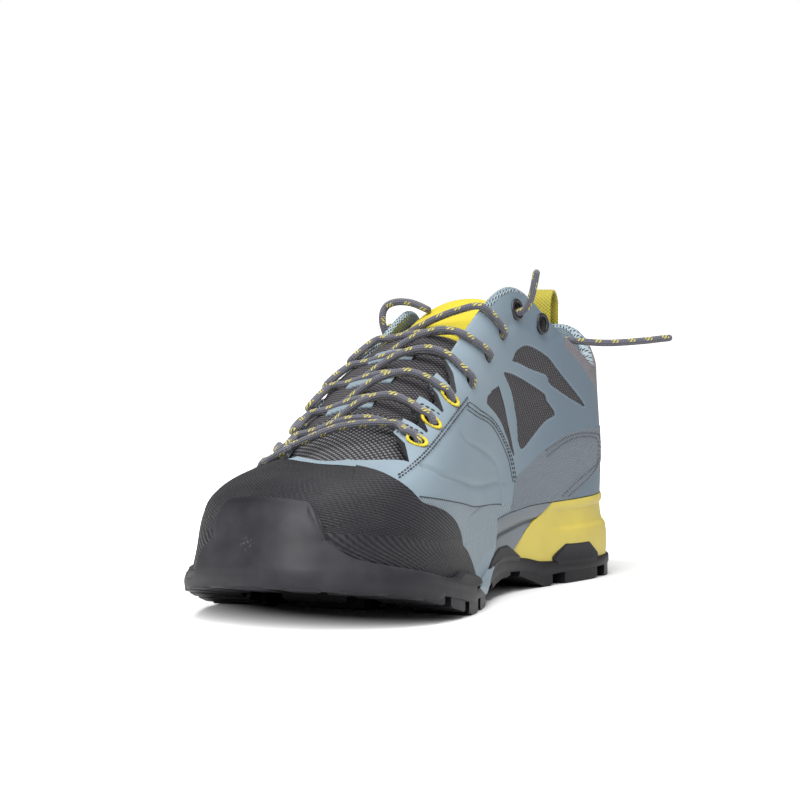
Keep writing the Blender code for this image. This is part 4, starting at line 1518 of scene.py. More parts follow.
def wrap(builder: MeshBuilder, over: Array, under: Array, uv: Array, hem: tuple[Array, ...] = ()) -> None:
    """Adds a closed skin round a sheet to a builder: over it, back under it and up round a hem."""
    rows = np.concatenate([over, under[::-1], *(row[None] for row in hem), over[:1]])
    builder.grid(rows, np.concatenate([uv, uv[::-1], *(uv[:1] for _ in hem), uv[:1]]))


@dataclass(frozen=True)
class Layer:
    """Rubber lying on the shoe's side up to an edge, rolled down along that edge.

    Attributes:
        low: Height on the side where it starts.
        under: Distance of its underside from the side.
        thickness: How thick it is away from its edge.
        roll: Radius of the rolled edge.
        flare: How far its foot stands out.
    """

    low: float
    under: float
    thickness: float
    roll: float
    flare: float = 0.0
    ROWS, PASSES = 56, 70
    # How its rows crowd, reach of the distances to its edge, fade of the flare, rolls from the edge that stay
    CROWDING, FAR, FLARE_FADE, STILL = 0.8, 40.0, 0.3, 1.5

    def lay(
        self, builder: MeshBuilder, u: Array, high: Array, skirt: tuple[Array, ...] = (), full: Values = 1.0
    ) -> None:
        """Adds the layer's skin to a builder.

        Args:
            builder: What to add to.
            u: Places round the shoe, from one end of the layer to the other.
            high: Height of its edge at each place.
            skirt: Rows of points that carry it on below its start, from the inside out.
            full: Share of its thickness at each place.
        """
        share = np.linspace(0, 1, self.ROWS)[:, None] ** self.CROWDING
        t = self.low + (high - self.low)[None, :] * share
        place = np.broadcast_to(u, t.shape)
        base = FORM.off(place, t, self.under)
        ends = [base[:, 0], base[-1], base[::-1, -1]]
        away = distance_to(base.reshape(-1, 3), np.concatenate(ends), self.FAR).reshape(t.shape)
        fall = np.clip(1 - away / self.roll, 0, 1)
        depth = self.thickness * np.sqrt(1 - fall**2)
        depth += self.flare * np.exp((self.low - t) / self.FLARE_FADE)
        over = FORM.off(place, t, self.under + full * depth)
        over = eased(over, self.PASSES, (away > self.STILL * self.roll)[1:-1, :, None])
        wrap(builder, over, base, np.stack([place, t], -1), skirt)


@dataclass(frozen=True)
class Lamp:
    """A soft square light.

    Attributes:
        name: Its name.
        place: Where it hangs, in metres.
        size: Side of its square in metres.
        power: Watts.
    """

    name: str
    place: Point
    size: float
    power: float

    def hang(self, target: Vector) -> None:
        """Adds the light, turned to a target.

        Args:
            target: What it lights.
        """
        light = bpy.data.lights.new(self.name, "AREA")
        light.size = self.size
        light.energy = self.power
        made = new_object(self.name, light)
        made.location = self.place
        made.rotation_euler = (target - Vector(self.place)).to_track_quat("-Z", "Y").to_euler()


@dataclass(frozen=True)
class Studio:
    """Camera at the photo's angle, soft light and a plain floor.

    Attributes:
        target: What the camera looks at, in metres.
        bearing: Degrees from the toe's direction towards the inner side.
        elevation: Degrees above the horizon.
        distance: Metres from the target.
        lens: Focal length in millimetres.
        lamps: The lights.
        ambient: Strength of the light from all round.
        floor_size: Side of the floor in metres.
    """

    target: Point = (0.0005, -0.0041, 0.0758)
    bearing: float = 23.43
    elevation: float = 2.03
    distance: float = 1.3
    lens: float = 151.14
    lamps: tuple[Lamp, ...] = (
        Lamp("key", (1.5, 0.3, 1.1), 1.0, 38.0),
        Lamp("fill", (0.9, 1.3, 0.9), 1.2, 3.0),
        Lamp("top", (0.35, 0.1, 1.6), 1.3, 40.0),
    )
    ambient: float = 0.42
    floor_size: float = 30.0
    # Width of the camera's sensor in millimetres, and how far it sees in metres
    SENSOR, SIGHT = 36.0, 200.0

    def build(self) -> None:
        """Sets up the stage."""
        scene = bpy.context.scene
        a, e = math.radians(self.bearing), math.radians(self.elevation)
        back = Vector((math.cos(a) * math.cos(e), math.sin(a) * math.cos(e), math.sin(e)))
        camera = bpy.data.cameras.new("camera")
        camera.lens = self.lens
        camera.sensor_width = self.SENSOR
        camera.clip_end = self.SIGHT
        eye = new_object("camera", camera)
        eye.location = Vector(self.target) + self.distance * back
        eye.rotation_euler = (-back).to_track_quat("-Z", "Y").to_euler()
        scene.camera = eye
        scene.view_settings.view_transform = "Standard"
        for lamp in self.lamps:
            lamp.hang(Vector(self.target))
        world = bpy.data.worlds.new("studio")
        world.use_nodes = True
        graph = Graph(world.node_tree)
        seen = graph.add("ShaderNodeLightPath").outputs["Is Camera Ray"]
        shades = {0: seen, 2: self.ambient, 3: 1.0}
        strength = graph.add("ShaderNodeMix", shades, data_type="FLOAT").outputs[0]
        background = world.node_tree.nodes["Background"]
        background.inputs["Color"].default_value = (1.0, 1.0, 1.0, 1.0)
        graph.feed(background.inputs["Strength"], strength)
        scene.world = world
        half = self.floor_size / 2
        mesh = bpy.data.meshes.new("floor")
        corners = [(-half, -half, 0), (half, -half, 0), (half, half, 0), (-half, half, 0)]
        mesh.from_pydata(corners, [], [(0, 1, 2, 3)])
        mesh.materials.append(Palette.FLOOR.material())
        new_object("floor", mesh)


@dataclass(frozen=True)
class Eyelet:
    """One place where the lace goes through the upper.

    Attributes:
        u: Place round the shoe, on the inner half.
        t: Height on the side.
        edge: Place of the throat's edge that the lace runs over.
        long: Half of the hole's length.
        short: Half of the hole's width.
    """

    u: float
    t: float
    edge: float
    long: float = 2.7
    short: float = 2.7

    def axes(self, half: Half) -> tuple[Array, Array, Array]:
        """Directions at the eyelet: along the lace, across it and out.

        Args:
            half: Which half of the shoe.

        Returns:
            Three unit vectors.
        """
        u, edge = half.place(self.u), half.place(self.edge)
        out = FORM.outward(u, self.t)
        run = FORM.side(u, self.t) - FORM.head(edge)
        along = unit(run - out * (run @ out))
        return along, np.cross(out, along), out

    def ring(self, half: Half, grow: float, lift: float, count: int) -> Array:
        """Points round the eyelet.

        Args:
            half: Which half of the shoe.
            grow: Distance out from the hole's edge.
            lift: Distance from the side.
            count: How many points.

        Returns:
            The points, with the first one again at the end.
        """
        along, across, out = self.axes(half)
        angle = np.linspace(0, 2 * math.pi, count + 1)[:, None]
        flat = np.cos(angle) * along * (self.long + grow) + np.sin(angle) * across * (self.short + grow)
        return FORM.side(half.place(self.u), self.t) + flat + lift * out


EYELETS = {
    "finger_low": Eyelet(8.30, 0.75, 8.78, 3.5, 2.8),
    "finger_middle": Eyelet(7.76, 0.78, 8.19, 3.5, 2.7),
    "finger_high": Eyelet(7.02, 0.79, 7.54, 3.5, 2.7),
    "hole_low": Eyelet(6.20, 0.72, 6.90),
    "hole_middle": Eyelet(5.56, 0.74, 6.40),
    "hole_high": Eyelet(5.14, 0.80, 5.82),
    "ring_front": Eyelet(4.80, 0.91, 5.00, 2.9, 2.9),
    "ring_back": Eyelet(4.14, 0.94, 4.14, 2.9, 2.9),
}
FINGERS = ("finger_low", "finger_middle", "finger_high")
LACED = (*FINGERS, "hole_low", "hole_middle", "hole_high")
RINGS = ("ring_front", "ring_back")

# A direction that no cord starts along, and rows of faces on a cord's rounded end
ASKEW = (0.31, 0.2, 0.93)
CAP_ROWS = 4


def tube(builder: MeshBuilder, path: Array, radius: float, sides: int = 14) -> None:
    """Adds a round cord with rounded ends to a builder.

    Args:
        builder: What to add to.
        path: Points along its middle in shoe millimetres.
        radius: Its radius.
        sides: Faces round it.
    """
    along = unit(np.gradient(path, axis=0))
    normal = np.empty_like(path)
    start = np.cross(along[0], ASKEW)
    for i, direction in enumerate(along):
        start = unit(start - direction * (start @ direction))
        normal[i] = start
    across = np.cross(along, normal)
    angle = np.linspace(0, 2 * math.pi, sides, endpoint=False)
    ring = np.cos(angle)[None, :, None] * normal[:, None] + np.sin(angle)[None, :, None] * across[:, None]
    rows = path[:, None] + radius * ring
    bend = np.linspace(0, math.pi / 2, CAP_ROWS + 1)[1:]
    first, last = (
        [path[k] + radius * (np.cos(b) * ring[k] + way * np.sin(b) * along[k]) for b in bend]
        for k, way in ((0, -1), (-1, 1))
    )
    rows = np.concatenate([first[::-1], rows, last])
    length = np.pad(running(path), len(bend), mode="edge")
    turn = np.arange(sides + 1) / sides
    builder.grid(rows, crossed(length, turn), closed=True)


@dataclass(frozen=True)
class Lacing(Piece):
    """The lace: its bar and crossings over the throat, two loose ends and a slack loop.

    Attributes:
        diameter: Thickness of the cord.
        lift: Distance of its skin from what it lies on.
        clearance: How far in from the throat's edge a strand comes up.
        drop: How far below the edge it comes up.
        rises: Height of the middle of the strands from each half.
        bar_rise: Height of the bar's middle.
    """

    diameter: float = 2.9
    lift: float = 0.3
    clearance: float = 3.8
    drop: float = 1.5
    rises: tuple[tuple[Half, float], ...] = ((Half.INNER, 4.0), (Half.OUTER, 7.4))
    bar_rise: float = 3.2
    CREST = 1.1
    # How much further out and down a strand starts under the throat's edge
    UNDER = (5.0, 3.5)
    # A strand's way into its eyelet: shift away from the edge where it still lies on the side, then distances
    # from the side with such shifts
    BEFORE = -2.0
    INTO = ((0.2, 1.0), (-3.0, 1.2))
    BAR_POINTS, STRAND_POINTS, CORD_POINTS = 80, 72, 90
    # Share of the way from the lower to the upper eyelet at which a strand comes up
    NEAR = {Half.INNER: 0.36, Half.OUTER: 0.9}
    # How much nearer to the toe a strand crosses the edge, in sections
    AHEAD = {Half.INNER: 0.0, Half.OUTER: 0.62}
    # Where a strand comes to the outer edge before it runs along it: sections nearer to the toe, then
    # millimetres in and up
    SHOULDER = (0.22, 1.8, 2.6)
    # Share of their rise that the strands of each row keep
    KEPT = (1.0, 0.95, 0.85, 0.7, 0.3)
    # How a strand arches over the tongue: share of the way from the inner side, and share of its rise
    ARCH = ((0.2, 0.8), (0.48, 0.95), (0.8, 0.25))
    FAR_ENDS = {"lace_end_inner": "bare", "lace_end_outer": "bare", "lace_slack": "object"}
    ROUTES = {
        "lace_end_inner": (
            (101.8, 14.5, 104.5), (102.6, 18.5, 107.6), (103.8, 26.3, 109.2),
            (104.2, 30.6, 111.4), (104.2, 33.0, 117.0), (104.0, 34.6, 125.0),
        ),
        "lace_end_outer": (
            (102.4, -28.9, 103.3), (102.1, -24.6, 101.9), (101.7, -18.9, 100.1), (96.5, -14.5, 99.6),
            (86.0, -6.5, 99.2), (72.0, 6.0, 98.4), (58.0, 19.5, 98.4), (49.0, 28.5, 97.4),
            (38.0, 39.5, 96.3), (27.0, 50.0, 96.9), (16.7, 60.0, 98.2),
        ),
        "lace_slack": (
            (109.5, -27.2, 98.5), (111.0, -28.7, 106.0), (109.6, -28.0, 111.2), (108.5, -23.5, 113.4),
            (107.5, -17.0, 112.9), (108.5, -10.0, 110.4),
        ),
    }

    def over_edge(self, eyelet: Eyelet, half: Half) -> list[Array]:
        """A strand's last points: over the throat's edge, down the eyestay and into its eyelet.

        Args:
            eyelet: Where it goes in.
            half: Which half of the shoe.

        Returns:
            Points in space.
        """
        high = self.diameter / 2 + self.lift
        u, edge = half.place(eyelet.u), half.place(eyelet.edge + self.AHEAD[half])
        over = unit(FORM.outward(edge, 1.0) + np.array([0, 0, 1.0]))
        crest = FORM.head(edge) + high * self.CREST * over
        along = eyelet.axes(half)[0]
        down = FORM.off((u + edge) / 2, (1 + eyelet.t) / 2, high)
        steps = ((high, self.BEFORE), *self.INTO)
        into = [FORM.off(u, eyelet.t, lift) + shift * along for lift, shift in steps]
        way = [crest, down, *into]
        if half is Half.INNER:
            return way
        ahead, inward, up = self.SHOULDER
        return [FORM.head(half.place(eyelet.edge + ahead)) + (0, inward, up), *way]

    def from_under(self, lower: Eyelet, upper: Eyelet, half: Half) -> list[Array]:
        """A strand's first points, where it comes up from under the throat's edge.

        Args:
            lower: The eyelet it comes from.
            upper: The next eyelet up.
            half: Which half of the shoe.

        Returns:
            Points in space.
        """
        edge = half.place(lower.edge + self.NEAR[half] * (upper.edge - lower.edge))
        inward = np.array([0, 1.0 if half is Half.OUTER else -1.0, 0])
        up = FORM.head(edge) + self.clearance * inward - (0, 0, self.drop)
        out, down = self.UNDER
        return [up - out * inward - (0, 0, down), up]

    def strand(self, lower: Eyelet, upper: Eyelet, half: Half, rise: float) -> Array:
        """One strand from under an edge across to the next eyelet up on the other side.

        Args:
            lower: The eyelet it comes from.
            upper: The eyelet it goes to.
            half: The half it comes from.
            rise: Height of its middle over its ends.

        Returns:
            Points along it.
        """
        other = Half.OUTER if half is Half.INNER else Half.INNER
        start, last = self.from_under(lower, upper, half), self.over_edge(upper, other)
        inner, outer = (start[-1], last[0]) if half is Half.INNER else (last[0], start[-1])
        arch = [inner + share * (outer - inner) + (0, 0, height * rise) for share, height in self.ARCH]
        route = [*start, *(arch if half is Half.INNER else arch[::-1]), *last]
        return spline(np.array(route), self.STRAND_POINTS)

    def build(self) -> list[Object]:
        """Makes the lace and its free cords.

        Returns:
            The pieces.
        """
        rows = [EYELETS[name] for name in LACED]
        near, far = (self.over_edge(rows[0], half) for half in Half)
        bar = [*near[::-1], (near[0] + far[0]) / 2 + (0, 0, self.bar_rise), *far]
        builder = MeshBuilder()
        tube(builder, spline(np.array(bar), self.BAR_POINTS), self.diameter / 2)
        for lower, upper, kept in zip(rows, rows[1:], self.KEPT):
            for half, rise in self.rises:
                tube(builder, self.strand(lower, upper, half, kept * rise), self.diameter / 2)
        laced = woven("lace", builder)
        dress(laced, (Palette.LACE,), ("lace_bar", *(f"lace_cross_{i}" for i in range(1, len(rows)))))
        return [laced, *(self.free(name) for name in self.ROUTES)]

    def free(self, name: str) -> Object:
        """Args:
            name: Name of the cord and of the CAD node it stands for.

        Returns:
            The cord.
        """
        path = spline(np.array(self.ROUTES[name]), self.CORD_POINTS)
        builder = MeshBuilder()
        tube(builder, path, self.diameter / 2)
        cord = woven(name + "_cord", builder)
        dress(cord, (Palette.LACE,), (name,))
        return cord


def columns(inner: int, outer: int) -> Array:
    """Places round the shoe, closer together on the inner half."""
    first = np.linspace(0, TOE_MIDDLE, inner, endpoint=False)
    return np.concatenate([first, np.linspace(TOE_MIDDLE, SECTION_COUNT, outer, endpoint=False)])


def ring(u: Array, distance: Values, share: float, height: str, lift: Values = 0.0) -> Array:
    """A closed ring of points at a level of the sole.

    Args:
        u: Places round the shoe.
        distance: How far in from the outsole's edge.
        share: Share of the way out from the spine.
        height: Name of the level.
        lift: Height over it.

    Returns:
        The points.
    """
    spine = FORM.spine(u)
    plan = spine + share * (FORM.inset(u, np.broadcast_to(distance, u.shape)) - spine)
    return with_height(plan, FORM.level(height, plan[:, 0]) + lift)


def prism(work: bmesh.types.BMesh, low: Array, high: Array) -> bmesh.types.BMFace:
    """Adds a solid between two outlines.

    Args:
        work: The mesh to add to.
        low: Points of one outline in shoe millimetres.
        high: As many points of the other.

    Returns:
        The face in the first outline.
    """
    verts = [work.verts.new(point) for point in in_frame(np.concatenate([low, high]))]
    n = len(low)
    base = work.faces.new(verts[:n])
    work.faces.new(verts[n:])
    for i in range(n):
        work.faces.new((verts[i], verts[(i + 1) % n], verts[n + (i + 1) % n], verts[n + i]))
    return base


def scuff(mesh: Mesh, scuffs: tuple[Point, ...], lift: float) -> None:
    """Marks where a rubber skin is rubbed pale.

    Args:
        mesh: The mesh.
        scuffs: Place round the shoe, height on the side and reach in millimetres.
        lift: Distance of the skin from the side.
    """
    points = points_of(mesh)
    worn = np.zeros(len(points))
    for u, t, reach in scuffs:
        away = np.linalg.norm(points - FORM.off(u, t, lift), axis=1)
        worn = np.maximum(worn, np.exp(-((away / reach) ** 2)))
    point_attribute(mesh, "scuff", worn)


def toe_edge(rows: tuple[Place, ...], count: int, outer: float = 1.0) -> tuple[Array, Array]:
    """Places along the top edge of a layer round the toe."""
    away = np.linspace(-rows[-1][0], rows[-1][0], count)
    return TOE_MIDDLE + np.where(away > 0, away / outer, away), smooth_read(rows, np.abs(away))


# Top edges of the layers round the toe on each half: distance round from the toe's middle, height on the side
RAND_EDGE = (
    (0, 0.31), (0.6, 0.27), (0.8, 0.07), (1.03, -0.35), (1.25, -0.56), (1.7, -0.69),
    (2.35, -0.78), (2.9, -0.84), (3.2, -0.8), (3.55, -0.62), (4.0, -0.7), (4.3, -0.84),
)
RAND_OUTER = (
    (0, 0.31), (0.5, 0.28), (0.64, 0.2), (0.78, -0.02), (0.94, -0.3), (1.09, -0.62), (1.24, -0.78),
    (1.43, -0.86), (1.75, -0.88), (2.47, -0.88), (2.95, -0.87), (3.2, -0.83), (3.55, -0.66),
    (4.0, -0.72), (4.3, -0.84),
)
CAP_EDGE = (
    (0, 0.93), (0.6, 0.91), (1.1, 0.85), (1.4, 0.77), (1.73, 0.64), (2.01, 0.5), (2.31, 0.36),
    (2.59, 0.25), (3.0, 0.2), (3.41, 0.15), (3.85, 0.05), (4.1, -0.12), (4.3, -0.45), (4.4, -0.78),
)
CAP_OUTER = (
    (0, 0.93), (0.7, 0.93), (1.5, 0.92), (1.87, 0.86), (2.47, 0.62), (3.13, 0.34), (4.0, 0.0), (4.4, -0.78),
)


@dataclass(frozen=True)
class Outsole(Piece):
    """Rubber plate with its lugs, the rand round the toe and a tab up each side of the heel.

    Attributes:
        rand: The rubber over the toe's front.
        tab: The rubber up the heel's sides.
        bevel: Rounding of the lugs' edges.
        outer_share: How much shorter the rand's outer half is.
    """

    rand: Layer = Layer(-1.0, 1.7, 2.7, 1.5, 0.4)
    tab: Layer = Layer(-1.0, 0.2, 1.05, 1.0)
    bevel: float = 0.7
    outer_share: float = 1.3
    # Section of the plate's edge: distance in from the outline, and share of its height
    EDGE = ((0.9, 0.0), (0.25, 0.1), (0.0, 0.28), (0.0, 0.84), (0.3, 0.95), (0.9, 1.0))
    # The rand's way down round the toe: distance in from the outline, level, height over it, and how much
    # further in it lies where the rand is thin
    SKIRT = (
        (8.0, "split", 0.0, 0.0), (8.0, "ground", 0.4, 0.0), (1.3, "ground", 0.1, 0.0),
        (0.3, "ground", 0.9, 0.0), (-0.1, "tread", 0.0, 0.1), (-0.25, "tread", 1.2, 0.45),
        (-0.22, "split", -1.8, 1.0), (-0.1, "split", -0.7, 1.4),
    )
    # Share of its thickness that the thin rand loses, and heights of its edge between which it grows thin
    THIN, THINNING = 0.5, (-0.4, -0.86)
    # Where the plate's edge slopes with the thin rand: ends of the two eases round the shoe, and how far in
    SLOPE_FROM, SLOPE_TO, SLOPE = (11.95, 12.3), (14.0, 13.4), 1.3
    # Where the rand's foot leaves the ground, how softly, and how softly rand and tabs start at their ends
    SKIRT_END, SKIRT_FADE, SKIRT_START, TAB_START = 2.9, 0.35, 0.4, 0.08
    # A tab's way over the plate's edge: distance in from the outline, and height over its top
    APRON = ((2.0, -1.6), (-0.05, -1.6), (-0.05, -0.8), (-0.05, -0.1))
    COLUMNS, RAND_COLUMNS, TAB_COLUMNS = (300, 200), 420, 60
    LUG_COLUMNS = 8
    SHARP = 0.6
    # The lugs along the edge: start and end round the shoe, and how many
    LUG_RUNS = ((-6.06, 6.06, 10), (6.35, 15.65, 14))
    # Share of the pitch that a lug takes, how far in it starts, share of the way out from the spine where its
    # back lies, and how far it reaches into the plate
    LUG_SHARE, LUG_INSET, LUG_DEPTH, LUG_ROOT = 0.74, 0.4, 0.56, 1.0
    # The chevrons along the middle: their stations, and their outline in plan
    BAR_STATIONS = (34, 56, 78, 184, 197, 214, 234)
    BAR_OUTLINE = ((-1, -13), (7, -13), (3, 0), (7, 13), (-1, 13), (-5, 0))
    HEEL_TAB = ((2.4, -0.93), (2.65, -0.72), (3.26, -0.71), (3.6, -0.93))
    SHANK = ((4.5, -0.99), (4.68, -0.86), (4.9, -0.71), (5.25, -0.71), (5.6, -0.82), (5.9, -0.97))
    SCUFFS = ((11.18, -0.24, 2.6), (10.9, 0.35, 1.2), (11.5, 0.34, 1.2), (10.4, 0.2, 1.2))

    def skirt(self, u: Array, thin: Array) -> tuple[Array, ...]:
        """Rows that carry the rand on down to the ground round the toe.

        Args:
            u: Places round the shoe along the rand.
            thin: How far the rand is thinned at each place, from 0 to 1.

        Returns:
            Rows of points, from the inside out.
        """
        away = np.abs(u - TOE_MIDDLE)
        low = smoothstep(self.SKIRT_END, self.SKIRT_END - self.SKIRT_FADE, away)[:, None]
        wide = smoothstep(0, self.SKIRT_START, np.minimum(u - u[0], u[-1] - u))[:, None]
        root = FORM.off(u, np.full_like(u, self.rand.low), self.rand.under)
        rows = []
        for inset, level, lift, further in self.SKIRT:
            distance = inset + further * thin
            short = ring(u, distance, 1, "tread" if level == "ground" else level, lift)
            rows.append(root + wide * (short + low * (ring(u, distance, 1, level, lift) - short) - root))
        return tuple(rows)

    def apron(self, u: Array) -> tuple[Array, ...]:
        """Rows that carry a tab on over the plate's edge.

        Args:
            u: Places round the shoe along the tab.

        Returns:
            Rows of points, from the inside out.
        """
        wide = smoothstep(0, self.TAB_START, np.minimum(np.abs(u - u[0]), np.abs(u[-1] - u)))[:, None]
        root = FORM.off(u, np.full_like(u, self.tab.low), self.tab.under)
        rows = (ring(u, inset, 1, "split", lift) for inset, lift in self.APRON)
        return tuple(root + wide * (row - root) for row in rows)

    def plate(self, builder: MeshBuilder) -> None:
        """Adds the plate.

        Args:
            builder: What to add to.
        """
        u = columns(*self.COLUMNS)
        welt = FORM.read("welt", u)
        rings = [ring(u, self.EDGE[0][0], share, "tread") for share in (0, 0.5)]
        slope = self.SLOPE * smoothstep(*self.SLOPE_FROM, u) * smoothstep(*self.SLOPE_TO, u)
        for inset, share in self.EDGE:
            distance = inset + slope * share**2
            low, high = ring(u, distance, 1, "tread"), ring(u, distance, 1, "split")
            rings.append(low + share * (high - low))
        rings += [ring(u, welt, share, "split") for share in (1, 0.5, 0)]
        builder.grid(np.array(rings), closed=True)

    def lug_outlines(self) -> list[Array]:
        """Plan outlines of the lugs.

        Returns:
            One outline for each lug.
        """
        found = []
        for start, end, count in self.LUG_RUNS:
            pitch = (end - start) / count
            for i in range(count):
                first, last = start + i * pitch, start + (i + self.LUG_SHARE) * pitch
                u = np.linspace(first, last, self.LUG_COLUMNS)
                centre = FORM.spine(u)
                back = centre + self.LUG_DEPTH * (FORM.outline(u) - centre)
                found.append(np.concatenate([FORM.inset(u, np.full_like(u, self.LUG_INSET)), back[::-1]]))
        line = FORM.spine(np.linspace(0, SECTION_COUNT / 2, FORM.HALF_POINTS))
        for station in self.BAR_STATIONS:
            middle = np.interp(station, line[:, 0], line[:, 1])
            found.append(np.array(self.BAR_OUTLINE, float) + (station, middle))
        return found

    def lugs(self, work: bmesh.types.BMesh) -> None:
        """Adds the lugs with rounded edges.

        Args:
            work: The mesh to add to.
        """
        for plan in self.lug_outlines():
            low = with_height(plan, FORM.level("ground", plan[:, 0]))
            high = with_height(plan, FORM.level("tread", plan[:, 0]) + self.LUG_ROOT)
            base = prism(work, low, high)
            bmesh.ops.bevel(work, geom=list(base.edges), offset=self.bevel * MM, segments=2, affect="EDGES")

    def build(self) -> list[Object]:
        """Makes the outsole.

        Returns:
            The piece.
        """
        builder = MeshBuilder()
        self.plate(builder)
        edges = (toe_edge(rows, self.RAND_COLUMNS, self.outer_share) for rows in (RAND_EDGE, RAND_OUTER))
        (u, inner), (_, outer) = edges
        thin = np.where(u > TOE_MIDDLE, smoothstep(*self.THINNING, outer), 0.0)
        edge = np.where(u > TOE_MIDDLE, outer, inner)
        self.rand.lay(builder, u, edge, self.skirt(u, thin), 1 - self.THIN * thin)
        for rows in (self.HEEL_TAB, self.SHANK):
            place, top = np.array(rows, float).T
            u = np.linspace(place[0], place[-1], self.TAB_COLUMNS)
            for half in Half:
                self.tab.lay(builder, half.place(u), np.interp(u, place, top), self.apron(half.place(u)))
        piece = builder.build("outsole_rubber")
        with edited(piece.data) as work:
            self.lugs(work)
        clean(piece.data, False)
        piece.data.set_sharp_from_angle(angle=self.SHARP)
        scuff(piece.data, self.SCUFFS, self.rand.under + self.rand.thickness)
        dress(piece, (Palette.OUTSOLE,), ("outsole",))
        return [piece]


@dataclass(frozen=True)
class ToeCap(Piece):
    """Ribbed rubber over the toe.

    Attributes:
        layer: How it lies on the upper.
        scuffs: Places of the small pale scuffs and their reach in millimetres.
    """

    layer: Layer = Layer(-0.93, 0.6, 1.3, 1.1)
    scuffs: tuple[Point, ...] = ((11.54, 0.83, 1.6), (12.1, 0.5, 1.2))
    COLUMNS = 360

    def build(self) -> list[Object]:
        """Makes the cap.

        Returns:
            The piece.
        """
        builder = MeshBuilder()
        (u, inner), (_, outer) = (toe_edge(rows, self.COLUMNS) for rows in (CAP_EDGE, CAP_OUTER))
        self.layer.lay(builder, u, np.where(u < TOE_MIDDLE, inner, outer))
        piece = builder.build("toe_cap_rubber")
        pairs, _ = corner_places(piece.data)
        cloth_map(piece.data, GIRTH.lengths(*pairs.T))
        scuff(piece.data, self.scuffs, self.layer.under + self.layer.thickness)
        dress(piece, (Palette.CAP,), ("toe_cap",))
        return [piece]


